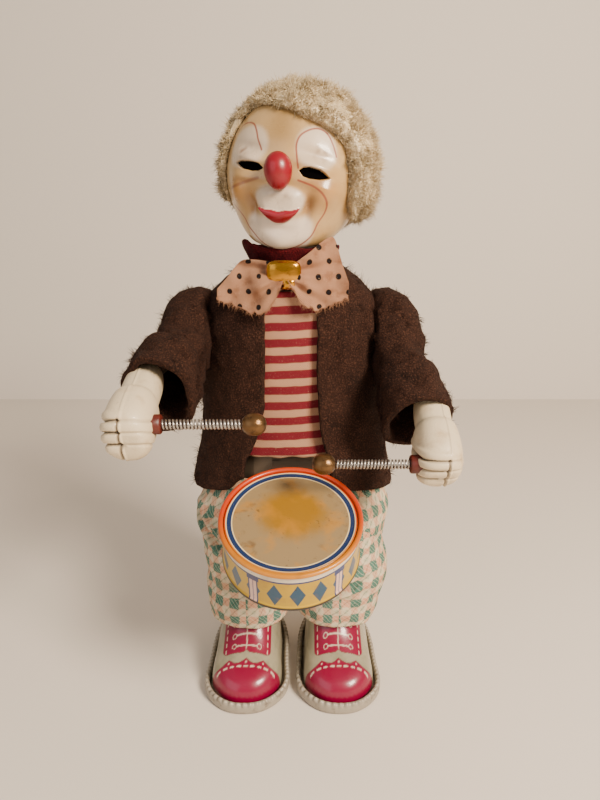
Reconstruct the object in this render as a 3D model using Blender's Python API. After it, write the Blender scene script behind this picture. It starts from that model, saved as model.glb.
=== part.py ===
"""Clown drummer: a clockwork tin and cloth toy that beats a small drum with two sprung sticks.

The clown faces -Y and stands on Z = 0. Its right side is -X. Sizes are in millimetres
and degrees, and are turned into metres where a mesh is written.
"""

import math

import bmesh
import bpy
import numpy as np
from mathutils import Vector

MM = 0.001
GAP = 0.3
SHARP_ANGLE = math.radians(40)

# Sole trays and shoes
FOOT_SPACING = 43.0
SHOE_FRONT = 42.5
SHOE_BACK = 27.0
SHOE_HALF_WIDTH = 15.8
TOE_HEIGHT = 16.0
TOE_SWELL = 0.2
TOE_SWELL_SPREAD = 11.0
ANKLE_HEIGHT = 32.0
SHOE_WALL = 0.8
TRAY_CLEARANCE = 1.1
TRAY_RIM_WIDTH = 2.3
TRAY_RIM_HEIGHT = 6.0
TRAY_FLOOR = 0.8
SHOE_POINTS = 16
FIST_POINTS = 14

# Legs and trunk
LEG_RADIUS = 9.0
LEG_WALL = 0.8
LEG_SPACING = 40.0
HIP_HEIGHT = 89.2
BASE_THICKNESS = 1.0
SHELL_HALF_WIDTH = 34.0
SHELL_HALF_DEPTH = 22.0
SHELL_WALL = 0.8
SHELL_HEIGHT = 102.0
TRUNK_BOTTOM = HIP_HEIGHT + BASE_THICKNESS + GAP
TRUNK_TOP = TRUNK_BOTTOM + SHELL_HEIGHT
NECK_HOLE_RADIUS = 6.6
FACET_ALLOWANCE = 0.35

# Clothes
TROUSER_THICKNESS = 1.3
TROUSER_HEM_HEIGHT = 27.0
TROUSER_RISE = 12.5
TROUSER_TOP = TRUNK_BOTTOM + TROUSER_RISE
HEM_HALF_WIDTH = 17.5
HEM_HALF_DEPTH = 22.5
HIP_HALF_WIDTH = 45.0
HIP_HALF_DEPTH = 27.5
SHIRT_THICKNESS = 0.8
SHIRT_LIFT = 0.45
SHIRT_HEM_RISE = 24.5
SHIRT_HEM_HEIGHT = TRUNK_BOTTOM + SHIRT_HEM_RISE
JACKET_THICKNESS = 2.2
JACKET_HEM_RISE = 4.5
JACKET_HEM_HEIGHT = TRUNK_BOTTOM + JACKET_HEM_RISE
JACKET_FRONT_RISE = 7.0
JACKET_HALF_WIDTH = 46.0
JACKET_HALF_DEPTH = 31.0
CHEST_HALF_WIDTH = 39.5
CHEST_HALF_DEPTH = 27.5
JACKET_OPENING_RIGHT = 25.0
JACKET_OPENING_LEFT = 20.0
COLLAR_RADIUS = 13.5
COLLAR_HEIGHT = 9.0
COLLAR_THICKNESS = 1.5
COLLAR_FLARE = 1.6
BOW_WIDTH = 53.0
BOW_END_HEIGHT = 27.0
BOW_MIDDLE_HEIGHT = 13.0
BOW_THICKNESS = 1.6
BOW_LEAN = 0.36
CLASP_WIDTH = 13.0
CLASP_HEIGHT = 9.0
CLASP_THICKNESS = 2.4

# Arms and sticks
SHOULDER_BELOW_NECK = 22.5
SHOULDER_HEIGHT = TRUNK_TOP - SHOULDER_BELOW_NECK
RIGHT_ARM_DROP = 21.5
LEFT_ARM_DROP = 38.5
ARM_REACH = 74.0
ARM_TUBE_RADIUS = 3.2
SHAFT_RADIUS = 2.2
HAND_OFFSET = 55.5
FIST_HALF_WIDTH = 9.5
FIST_HALF_HEIGHT = 12.0
FIST_BACK = 14.0
FIST_FRONT = 10.6
FOREARM_LENGTH = 24.0
FOREARM_RADIUS = 5.6
WRIST_RADIUS = 7.0
GROOVE_DEPTH = 1.3
GROOVE_WIDTH = 0.7
PLUG_STANDS_OUT = 1.2
SLEEVE_THICKNESS = 1.6
SLEEVE_RADIUS = 13.6
CUFF_HALF_WIDTH = 14.0
CUFF_HALF_HEIGHT = 16.5
CUFF_REACH = 53.0
PLUG_RADIUS = 3.5
PLUG_LENGTH = 6.0
SPRING_LENGTH = 27.8
SPRING_RADIUS = 1.7
SPRING_WIRE = 0.6
SPRING_CURLS = 20
CURL_POINTS = 8
BEAD_RADIUS = 4.3

# Drum
DRUM_RADIUS = 26.6
DRUM_RIM = 0.9
DRUM_HEIGHT = 19.5
DRUM_WALL = 0.9
DRUM_TILT = 22.0
DRUM_FORWARD = 60.0
DRUM_TOP_RISE = 12.9
DRUM_TOP_HEIGHT = TRUNK_BOTTOM + DRUM_TOP_RISE
DRUM_STEPS = 28
BRACKET_WIDTH = 17.0
BRACKET_THICKNESS = 1.0
RIVET_RADIUS = 1.2
RIVET_HEAD_RADIUS = 2.4

# Movement
PLATE_THICKNESS = 1.0
FRONT_PLATE_Y = -4.0
REAR_PLATE_Y = 12.0
PLATE_BELOW_KEY = 18.0
PLATE_BELOW_SHOULDER = 3.7
PILLAR_RADIUS = 2.0
TOOTH_MODULE = 1.0
TOOTH_DEPTH = 1.0
GREAT_TEETH = 32
CRANK_PINION_TEETH = 8
CRANK_TEETH = 24
GOVERNOR_PINION_TEETH = 8
KEY_BELOW_SHOULDER = 40.0
KEY_HEIGHT = SHOULDER_HEIGHT - KEY_BELOW_SHOULDER
PLATE_BOTTOM = KEY_HEIGHT - PLATE_BELOW_KEY
PLATE_TOP = SHOULDER_HEIGHT - PLATE_BELOW_SHOULDER
KEY_ARBOR_RADIUS = 2.0
ARBOR_RADIUS = 1.5
ARBOR_CLEARANCE = 0.4
WHEEL_THICKNESS = 1.2
CRANK_THROW = 2.2
CRANK_DISC_RADIUS = 4.5
KEY_SPAN = 27.0
KEY_DEPTH = 15.0
KEY_THICKNESS = 2.0
ROCKER_BELOW_SHOULDER = 6.0
ROCKER_HEIGHT = SHOULDER_HEIGHT - ROCKER_BELOW_SHOULDER
ROCKER_THICKNESS = 1.5
ROCKER_HALF_SPAN = 18.0
SHAFT_LEVER_LENGTH = 8.0
MIDDLE_ARM_DROP = (RIGHT_ARM_DROP + LEFT_ARM_DROP) / 2.0
ROCKER_RATIO = 0.55
HEAD_RATIO = 1.15
MAINSPRING_TURNS = 3
MAINSPRING_WIDTH = 4.0
MAINSPRING_STRIP = 0.7
MAINSPRING_PITCH = 3.0

# Head
HEAD_SEAT_RISE = 8.0
HEAD_SEAT_HEIGHT = TRUNK_TOP + HEAD_SEAT_RISE
HEAD_YAW = -13.0
HEAD_ROLL = 3.5
SKULL_HALF_WIDTH = 28.7
SKULL_HALF_DEPTH = 26.5
SKULL_HALF_HEIGHT = 31.0
CHEEK_SWELL = 2.0
CHIN_SWELL = 5.5
CHIN_DROP = 3.2
HEAD_WALL = 1.2
NECK_RING_RADIUS = 10.0
NECK_POST_RADIUS = 3.0
EYE_SPACING = 26.6
EYE_WIDTH = 11.0
EYE_HEIGHT = 3.4
EYE_DROP = 1.0
EYE_POINTS = 10
NOSE_HALF_WIDTH = 5.1
NOSE_HALF_HEIGHT = 6.8
NOSE_HALF_DEPTH = 5.6
NOSE_DROP = 1.9
NOSE_POINTS = 12
WIG_THICKNESS = 3.8

# Facets round the soft and moulded pieces
FULL_TURN = 360.0
SLEEVE_POINTS = 14
LEG_POINTS = 14
SKULL_POINTS = 20
WIG_POINTS = 24


def clear_scene():
    """Remove whatever objects the file opened with."""
    for old in list(bpy.data.objects):
        bpy.data.objects.remove(old, do_unlink=True)


def finish(name, colour, roughness, metallic=0.0):
    """A Principled material of one colour."""
    made = bpy.data.materials.new(name)
    made.use_nodes = True
    shader = made.node_tree.nodes["Principled BSDF"]
    shader.inputs["Base Color"].default_value = (*colour, 1.0)
    shader.inputs["Roughness"].default_value = roughness
    shader.inputs["Metallic"].default_value = metallic
    return made


def empty(name, parent=None, location=(0.0, 0.0, 0.0), turn=(0.0, 0.0, 0.0)):
    """A frame for other pieces: location in millimetres, turn in degrees about X, Y, Z."""
    made = bpy.data.objects.new(name, None)
    bpy.context.collection.objects.link(made)
    made.parent = parent
    made.location = Vector(location) * MM
    made.rotation_euler = [math.radians(angle) for angle in turn]
    return made


def solid(name, vertices, faces, material, parent):
    """One closed mesh object, from points in millimetres in its parent's frame."""
    mesh = bpy.data.meshes.new(name)
    mesh.from_pydata((np.asarray(vertices, dtype=float) * MM).tolist(), [], faces)
    work = bmesh.new()
    work.from_mesh(mesh)
    bmesh.ops.recalc_face_normals(work, faces=work.faces)
    work.to_mesh(mesh)
    work.free()
    mesh.shade_smooth()
    mesh.set_sharp_from_angle(angle=SHARP_ANGLE)
    made = bpy.data.objects.new(name, mesh)
    bpy.context.collection.objects.link(made)
    made.parent = parent
    if material is not None:
        mesh.materials.append(material)
    return made


def guide(piece):
    """Mark an object as a cutter or a helper that isn't itself a piece."""
    piece.hide_render = True
    piece.display_type = "WIRE"
    return piece


def combine(target, tool, operation):
    """Boolean one guide into or out of a piece."""
    step = target.modifiers.new(operation.lower() + "_" + tool.name, "BOOLEAN")
    step.operation = operation
    step.solver = "EXACT"
    step.object = guide(tool)


def cut(target, tool):
    """Take a guide's shape out of a piece."""
    combine(target, tool, "DIFFERENCE")


def weld(target, tool):
    """Make a guide's shape part of a piece."""
    combine(target, tool, "UNION")


def lofted(name, rings, material, parent):
    """A closed body through a row of rings, with a fan over each end ring."""
    rings = np.asarray(rings, dtype=float)
    rows, columns = rings.shape[:2]
    faces = []
    for row in range(rows - 1):
        for column in range(columns):
            beside = (column + 1) % columns
            low = row * columns
            high = low + columns
            faces.append((low + column, low + beside, high + beside, high + column))
    first = rows * columns
    last = first + 1
    for column in range(columns):
        beside = (column + 1) % columns
        faces.append((first, beside, column))
        faces.append((last, last - 1 - columns + column, last - 1 - columns + beside))
    points = np.vstack([rings.reshape(-1, 3), rings[0].mean(axis=0), rings[-1].mean(axis=0)])
    return solid(name, points, faces, material, parent)


def sheet(name, outer, inner, material, parent, wrap):
    """A closed body between two like grids of points: a wall of cloth or tin.

    wrap says that the grid's columns go all the way round.
    """
    rows, columns = outer.shape[:2]
    count = rows * columns
    spans = columns if wrap else columns - 1
    faces = []
    for row in range(rows - 1):
        for column in range(spans):
            beside = (column + 1) % columns
            corner = (
                row * columns + column,
                row * columns + beside,
                (row + 1) * columns + beside,
                (row + 1) * columns + column,
            )
            faces.append(corner)
            faces.append(tuple(count + index for index in reversed(corner)))
    for row in (0, rows - 1):
        for column in range(spans):
            here = row * columns + column
            beside = row * columns + (column + 1) % columns
            faces.append((here, beside, count + beside, count + here))
    if not wrap:
        for column in (0, columns - 1):
            for row in range(rows - 1):
                here = row * columns + column
                above = here + columns
                faces.append((here, above, count + above, count + here))
    points = np.vstack([outer.reshape(-1, 3), inner.reshape(-1, 3)])
    return solid(name, points, faces, material, parent)


def grid_normals(grid, wrap):
    """Unit normals of a grid of points, all facing away from the grid's middle."""
    along = np.gradient(grid, axis=0)
    if wrap:
        across = np.roll(grid, -1, axis=1) - np.roll(grid, 1, axis=1)
    else:
        across = np.gradient(grid, axis=1)
    normals = np.cross(across, along)
    normals /= np.linalg.norm(normals, axis=2, keepdims=True)
    away = grid - grid.reshape(-1, 3).mean(axis=0)
    if np.sum(normals * away) < 0:
        normals = -normals
    return normals


def box(name, low, high, material, parent):
    """A box between two corners."""
    x0, y0, z0 = low
    x1, y1, z1 = high
    bottom = [(x0, y0, z0), (x1, y0, z0), (x1, y1, z0), (x0, y1, z0)]
    top = [(x, y, z1) for x, y, _ in bottom]
    sides = [(i, (i + 1) % 4, (i + 1) % 4 + 4, i + 4) for i in range(4)]
    return solid(name, bottom + top, [(3, 2, 1, 0), (4, 5, 6, 7)] + sides, material, parent)


def stamped(name, outline, start, end, material, parent):
    """A flat stamping: an (x, z) outline, of any shape, between two places along Y."""
    count = len(outline)
    points = [(x, y, z) for y in (start, end) for x, z in outline]
    faces = [(i, (i + 1) % count, (i + 1) % count + count, i + count) for i in range(count)]
    faces += [tuple(range(count)), tuple(range(2 * count - 1, count - 1, -1))]
    return solid(name, points, faces, material, parent)


def turned(name, profile, steps, material, parent, axis="Z", centre=(0.0, 0.0, 0.0)):
    """A ring turned from a closed (radius, height) outline that stays off the axis."""
    profile = np.asarray(profile, dtype=float)
    angles = np.linspace(0.0, 2.0 * math.pi, steps, endpoint=False)
    count = len(profile)
    around = np.stack([np.cos(angles), np.sin(angles)], axis=1)
    points = np.zeros((steps, count, 3))
    points[:, :, 0] = around[:, :1] * profile[None, :, 0]
    points[:, :, 1] = around[:, 1:] * profile[None, :, 0]
    points[:, :, 2] = profile[None, :, 1]
    points = lay_along(points.reshape(-1, 3), axis) + np.asarray(centre)
    faces = []
    for step in range(steps):
        beyond = (step + 1) % steps
        for index in range(count):
            after = (index + 1) % count
            faces.append(
                (step * count + index, beyond * count + index, beyond * count + after, step * count + after)
            )
    return solid(name, points, faces, material, parent)


def spun(name, profile, steps, material, parent, axis="Z", centre=(0.0, 0.0, 0.0)):
    """A solid of revolution from an open (radius, height) outline, closed at both ends."""
    angles = np.linspace(0.0, 2.0 * math.pi, steps, endpoint=False)
    rings = [
        np.stack([radius * np.cos(angles), radius * np.sin(angles), np.full(steps, height)], axis=1)
        for radius, height in profile
    ]
    rings = [lay_along(ring, axis) + np.asarray(centre) for ring in rings]
    return lofted(name, rings, material, parent)


def lay_along(points, axis):
    """Turn points made about Z so that they lie about the named axis."""
    if axis == "X":
        return points[:, [2, 0, 1]]
    if axis == "Y":
        return points[:, [1, 2, 0]]
    return points


def rod(name, radius, start, end, steps, material, parent, axis="Z", centre=(0.0, 0.0, 0.0)):
    """A plain cylinder along an axis, from start to end along it."""
    return spun(name, [(radius, start), (radius, end)], steps, material, parent, axis, centre)


def signed_power(values, power):
    """The size of each value raised to the power, with its sign kept."""
    return np.sign(values) * np.abs(values) ** power


def oval_ring(x, y, z, half_width, half_depth, count, power=2.0):
    """A level superellipse, counted from the front, -Y, towards +X."""
    angles = np.linspace(0.0, 2.0 * math.pi, count, endpoint=False)
    return oval_arc(x, y, z, half_width, half_depth, angles, power)


def oval_arc(x, y, z, half_width, half_depth, angles, power=2.0):
    """Points of a level superellipse at the given angles from the front."""
    sine = np.sin(angles)
    cosine = np.cos(angles)
    across = np.sign(sine) * np.abs(sine) ** (2.0 / power)
    forward = np.sign(cosine) * np.abs(cosine) ** (2.0 / power)
    height = np.zeros_like(angles) + z
    return np.stack([x + half_width * across, y - half_depth * forward, height], axis=1)


def smooth_path(points, count):
    """Evenly spread points on a Catmull-Rom curve through hand-set points."""
    points = np.asarray(points, dtype=float)
    padded = np.vstack([2 * points[0] - points[1], points, 2 * points[-1] - points[-2]])
    spans = len(points) - 1
    made = []
    for place in np.linspace(0.0, spans, count):
        span = min(int(place), spans - 1)
        t = place - span
        a, b, c, d = padded[span : span + 4]
        made.append(
            0.5 * (2 * b + (c - a) * t + (2 * a - 5 * b + 4 * c - d) * t**2 + (3 * b - a - 3 * c + d) * t**3)
        )
    return np.array(made)


def wire(name, points, radius, resolution, material, parent):
    """A round wire or tube along points, as a bevelled curve with filled ends."""
    curve = bpy.data.curves.new(name, "CURVE")
    curve.dimensions = "3D"
    curve.bevel_depth = radius * MM
    curve.bevel_resolution = resolution
    curve.use_fill_caps = True
    spline = curve.splines.new("POLY")
    spline.points.add(len(points) - 1)
    for place, point in zip(spline.points, points):
        place.co = (*(float(value) * MM for value in point), 1.0)
    curve.materials.append(material)
    made = bpy.data.objects.new(name, curve)
    bpy.context.collection.objects.link(made)
    made.parent = parent
    return made


def gear(name, teeth, start, thickness, parent, phase=0.0):
    """A toothed disc about its frame's Y axis; phase turns it by a share of one tooth."""
    pitch_radius = teeth * TOOTH_MODULE / 2.0
    tip = pitch_radius + TOOTH_DEPTH * 0.45
    root = pitch_radius - TOOTH_DEPTH * 0.75
    step = 2.0 * math.pi / teeth
    outline = []
    for tooth in range(teeth):
        for share, radius in ((-0.5, root), (-0.09, tip), (0.09, tip)):
            angle = (tooth + share + phase) * step
            outline.append((radius * math.cos(angle), radius * math.sin(angle)))
    rings = [[(x, y, z) for x, z in outline] for y in (start, start + thickness)]
    return lofted(name, rings, None, parent)


def side_name(side):
    """The clown's own side: its right is -X."""
    return "left" if side > 0 else "right"


def shoe_outline(z, front, back, half_width, count=SHOE_POINTS):
    """A shoe's level outline round the foot's centre line, broader at a bulbous toe."""
    middle = (back - front) / 2.0
    ring = oval_ring(0.0, middle, z, half_width, (back + front) / 2.0, count, 2.5)
    ahead = (ring[:, 1] + SHOE_FRONT * 0.78) / TOE_SWELL_SPREAD
    ring[:, 0] *= 1.0 + TOE_SWELL * np.exp(-(ahead**2))
    return ring


def make_foot(side, look, torso):
    """A pressed sole tray, the shoe upper standing in it and the leg tube through both."""
    name = side_name(side)
    foot = empty("foot_" + name, torso, (side * FOOT_SPACING / 2.0, 0.0, 0.0))
    inner = TRAY_CLEARANCE
    outer = TRAY_CLEARANCE + TRAY_RIM_WIDTH
    crest = TRAY_CLEARANCE + TRAY_RIM_WIDTH / 2.0
    steps = [
        (outer - 1.0, 0.0),
        (outer, 1.2),
        (outer, TRAY_RIM_HEIGHT - 1.2),
        (crest, TRAY_RIM_HEIGHT),
        (inner, TRAY_RIM_HEIGHT - 1.2),
        (inner, TRAY_FLOOR),
    ]
    rings = [
        shoe_outline(z, SHOE_FRONT + grow, SHOE_BACK + grow, SHOE_HALF_WIDTH + grow) for grow, z in steps
    ]
    lofted("sole_tray_" + name, rings, look["tray"], foot)

    leg_x = side * (LEG_SPACING - FOOT_SPACING) / 2.0
    floor = TRAY_FLOOR + GAP
    rise = ANKLE_HEIGHT - TOE_HEIGHT
    levels = [
        (floor, SHOE_FRONT - 0.8, SHOE_BACK - 0.6, SHOE_HALF_WIDTH - 0.6),
        (TOE_HEIGHT * 0.3, SHOE_FRONT, SHOE_BACK, SHOE_HALF_WIDTH),
        (TOE_HEIGHT * 0.6, SHOE_FRONT - 1.2, SHOE_BACK, SHOE_HALF_WIDTH - 0.2),
        (TOE_HEIGHT * 0.82, SHOE_FRONT - 4.6, SHOE_BACK - 0.4, SHOE_HALF_WIDTH - 0.6),
        (TOE_HEIGHT, SHOE_FRONT - 10.5, SHOE_BACK - 1.0, SHOE_HALF_WIDTH - 1.2),
        (TOE_HEIGHT + rise * 0.4, SHOE_FRONT - 19.5, SHOE_BACK - 3.4, SHOE_HALF_WIDTH - 2.0),
        (TOE_HEIGHT + rise * 0.85, SHOE_FRONT - 25.0, SHOE_BACK - 9.0, SHOE_HALF_WIDTH - 2.8),
    ]
    outer_rings = [shoe_outline(z, front, back, width) for z, front, back, width in levels]
    collar = LEG_RADIUS + GAP + SHOE_WALL
    outer_rings.append(oval_ring(leg_x, 0.0, ANKLE_HEIGHT, collar, collar, SHOE_POINTS))
    outer_rings.append(oval_ring(leg_x, 0.0, ANKLE_HEIGHT + 1.5, collar, collar, SHOE_POINTS))
    outer_grid = np.array(outer_rings)
    inner_grid = outer_grid - grid_normals(outer_grid, True) * SHOE_WALL
    inner_grid[0, :, 2] = floor
    inner_grid[-2:, :, 2] = outer_grid[-2:, :, 2] - np.array([[SHOE_WALL], [0.0]])
    bore = oval_ring(leg_x, 0.0, 0.0, collar - SHOE_WALL, collar - SHOE_WALL, SHOE_POINTS)
    inner_grid[-2:, :, :2] = bore[None, :, :2]
    sheet("shoe_upper_" + name, outer_grid, inner_grid, look["shoe"], foot, True)

    profile = [
        (LEG_RADIUS - LEG_WALL, floor),
        (LEG_RADIUS, floor),
        (LEG_RADIUS, HIP_HEIGHT - GAP),
        (LEG_RADIUS - LEG_WALL, HIP_HEIGHT - GAP),
    ]
    turned("leg_tube_" + name, profile, 18, look["tin"], foot, "Z", (leg_x, 0.0, 0.0))


def shell_levels():
    """Height, half-width and half-depth up the tin trunk."""
    width = SHELL_HALF_WIDTH
    depth = SHELL_HALF_DEPTH
    slope = SHOULDER_BELOW_NECK
    return [
        (TRUNK_BOTTOM, width - 2.5, depth - 1.0),
        (TRUNK_BOTTOM + 5.0, width, depth),
        (SHOULDER_HEIGHT, width, depth),
        (SHOULDER_HEIGHT + slope * 0.356, width - 2.0, depth - 1.0),
        (TRUNK_TOP - slope * 0.311, width - 8.0, depth - 4.5),
        (TRUNK_TOP - slope * 0.089, width * 0.5, depth * 0.59),
        (TRUNK_TOP, NECK_HOLE_RADIUS, NECK_HOLE_RADIUS),
    ]


def shell_at(height):
    """The trunk's half-width and half-depth at a height."""
    levels = np.array(shell_levels())
    return np.interp(height, levels[:, 0], levels[:, 1]), np.interp(height, levels[:, 0], levels[:, 2])


def half_shell_angles(middle):
    """The stations round one half shell, short of the seam at each end by half a gap."""
    seam = math.degrees(GAP / SHELL_HALF_WIDTH)
    return np.radians(np.linspace(middle - 90.0 + seam, middle + 90.0 - seam, 13))


def make_trunk(look, torso):
    """Base plate and the two tin half shells."""
    width, depth = SHELL_HALF_WIDTH, SHELL_HALF_DEPTH
    levels = (HIP_HEIGHT, HIP_HEIGHT + BASE_THICKNESS)
    rings = [oval_ring(0.0, 0.0, z, width - 1.0, depth - 0.5, 36) for z in levels]
    lofted("body_base", rings, look["tin"], torso)
    halves = {}
    for name, middle in (("front", 0.0), ("back", 180.0)):
        angles = half_shell_angles(middle)
        outer = np.array([oval_arc(0.0, 0.0, z, a, b, angles) for z, a, b in shell_levels()])
        sizes = np.array(shell_levels())
        sizes[:, 1:] = np.maximum(sizes[:, 1:] - SHELL_WALL, NECK_HOLE_RADIUS)
        inner = np.array([oval_arc(0.0, 0.0, z, a, b, angles) for z, a, b in sizes])
        inner[-3:, :, 2] -= SHELL_WALL
        halves[name] = sheet("body_shell_" + name, outer, inner, look["tin"], torso, False)
    for name, half in halves.items():
        for side in (-1, 1):
            hole = rod(
                f"shoulder_hole_{name}_{side_name(side)}",
                SHAFT_RADIUS + 1.6 + GAP,
                side * (width - 6.0),
                side * (width + 6.0),
                16,
                None,
                torso,
                "X",
                (0.0, 0.0, SHOULDER_HEIGHT),
            )
            cut(half, hole)
    key_place = (0.0, 0.0, KEY_HEIGHT)
    key_hole = rod(
        "key_hole_shell", KEY_ARBOR_RADIUS + 1.0, depth - 4.0, depth + 4.0, 16, None, torso, "Y", key_place
    )
    cut(halves["back"], key_hole)
    bore = RIVET_RADIUS + GAP
    rivet_hole = rod(
        "rivet_hole_shell", bore, -depth - 4.0, -depth + 4.0, 12, None, torso, "Y", rivet_place()
    )
    cut(halves["front"], rivet_hole)


def rivet_place():
    """Where the drum's bracket is riveted to the trunk."""
    return (0.0, 0.0, (TROUSER_TOP + SHIRT_HEM_HEIGHT) / 2.0 - 1.0)


def make_bushes(look, torso):
    """The turned bushes that the shoulder shafts and the neck post run in."""
    bore = SHAFT_RADIUS + GAP
    for side in (-1, 1):
        flange = SHELL_HALF_WIDTH + GAP
        profile = [
            (bore, side * (flange - 2.6)),
            (bore + 1.3, side * (flange - 2.6)),
            (bore + 1.3, side * flange),
            (bore + 2.8, side * flange),
            (bore + 2.8, side * (flange + 1.0)),
            (bore, side * (flange + 1.0)),
        ]
        place = (0.0, 0.0, SHOULDER_HEIGHT)
        turned("shoulder_bush_" + side_name(side), profile, 14, look["brass"], torso, "X", place)
    top = TRUNK_TOP
    bore = NECK_POST_RADIUS + GAP
    profile = [
        (bore, top - 2.6),
        (NECK_HOLE_RADIUS - GAP, top - 2.6),
        (NECK_HOLE_RADIUS - GAP, top + GAP),
        (NECK_HOLE_RADIUS + 2.0, top + GAP),
        (NECK_HOLE_RADIUS + 2.0, top + 1.3),
        (bore, top + 1.3),
    ]
    turned("neck_bush", profile, 14, look["brass"], torso)


def plate_half_width(y):
    """How wide a movement plate is, so that its edges meet the trunk's inner wall."""
    inner_width = SHELL_HALF_WIDTH - SHELL_WALL
    inner_depth = SHELL_HALF_DEPTH - SHELL_WALL
    return inner_width * math.sqrt(1.0 - (y / inner_depth) ** 2) - GAP - FACET_ALLOWANCE


def arbor_places():
    """The X and Z of the three arbors of the train."""
    crank_rise = (GREAT_TEETH + CRANK_PINION_TEETH) * TOOTH_MODULE / 2.0
    governor_run = (CRANK_TEETH + GOVERNOR_PINION_TEETH) * TOOTH_MODULE / 2.0
    crank_z = KEY_HEIGHT + crank_rise
    return {
        "key": (0.0, KEY_HEIGHT, KEY_ARBOR_RADIUS),
        "crank": (0.0, crank_z, ARBOR_RADIUS),
        "governor": (governor_run, crank_z, ARBOR_RADIUS),
    }


def make_plates(look, torso):
    """The movement's two plates; four pillars are riveted into the front one."""
    rear_inner = REAR_PLATE_Y
    front_inner = FRONT_PLATE_Y + PLATE_THICKNESS
    half = {
        "front": plate_half_width(FRONT_PLATE_Y),
        "rear": plate_half_width(REAR_PLATE_Y + PLATE_THICKNESS),
    }
    start = {"front": FRONT_PLATE_Y, "rear": REAR_PLATE_Y}
    for name in ("front", "rear"):
        y = start[name]
        plate = box(
            f"movement_plate_{name}",
            (-half[name], y, PLATE_BOTTOM),
            (half[name], y + PLATE_THICKNESS, PLATE_TOP),
            look["brass"],
            torso,
        )
        for arbor, (x, z, radius) in arbor_places().items():
            bore = radius + ARBOR_CLEARANCE
            hole = rod(f"{arbor}_hole_{name}", bore, y - 2.0, y + 3.0, 12, None, torso, "Y", (x, 0.0, z))
            cut(plate, hole)
        if name == "front":
            for x in (-1, 1):
                for z in (PLATE_BOTTOM + 4.0, PLATE_TOP - 4.0):
                    pillar = rod(
                        f"pillar_{side_name(x)}_{int(z)}",
                        PILLAR_RADIUS,
                        front_inner - 0.5,
                        rear_inner - GAP,
                        10,
                        None,
                        torso,
                        "Y",
                        (x * (half["rear"] - 4.0), 0.0, z),
                    )
                    weld(plate, pillar)
            stud = rod(
                "rocker_stud", ARBOR_RADIUS, rocker_start() - 1.0, FRONT_PLATE_Y + 0.5, 12, None, torso, "Y",
                (0.0, 0.0, ROCKER_HEIGHT),
            )
            weld(plate, stud)


def rocker_start():
    """The Y of the rocker's front face, clear in front of the crank disc and its pin."""
    return FRONT_PLATE_Y - 4.75


def make_mainspring(look, torso):
    """The coiled spring strip round the key arbor, its outer end against a pillar's side."""
    points = MAINSPRING_TURNS * 9
    angles = np.linspace(0.0, MAINSPRING_TURNS * 2.0 * math.pi, points)
    inner_radius = KEY_ARBOR_RADIUS + GAP + MAINSPRING_STRIP / 2.0
    radius = inner_radius + MAINSPRING_PITCH * angles / (2.0 * math.pi)
    start = REAR_PLATE_Y - 4.0 - MAINSPRING_WIDTH
    faces_of_strip = []
    for grow in (0.5, -0.5):
        reach = radius + grow * MAINSPRING_STRIP
        x = reach * np.cos(angles)
        z = KEY_HEIGHT + reach * np.sin(angles)
        rows = [np.stack([x, np.full(points, y), z], axis=1) for y in (start, start + MAINSPRING_WIDTH)]
        faces_of_strip.append(np.array(rows))
    sheet("mainspring", faces_of_strip[0], faces_of_strip[1], look["steel"], torso, False)


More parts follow.
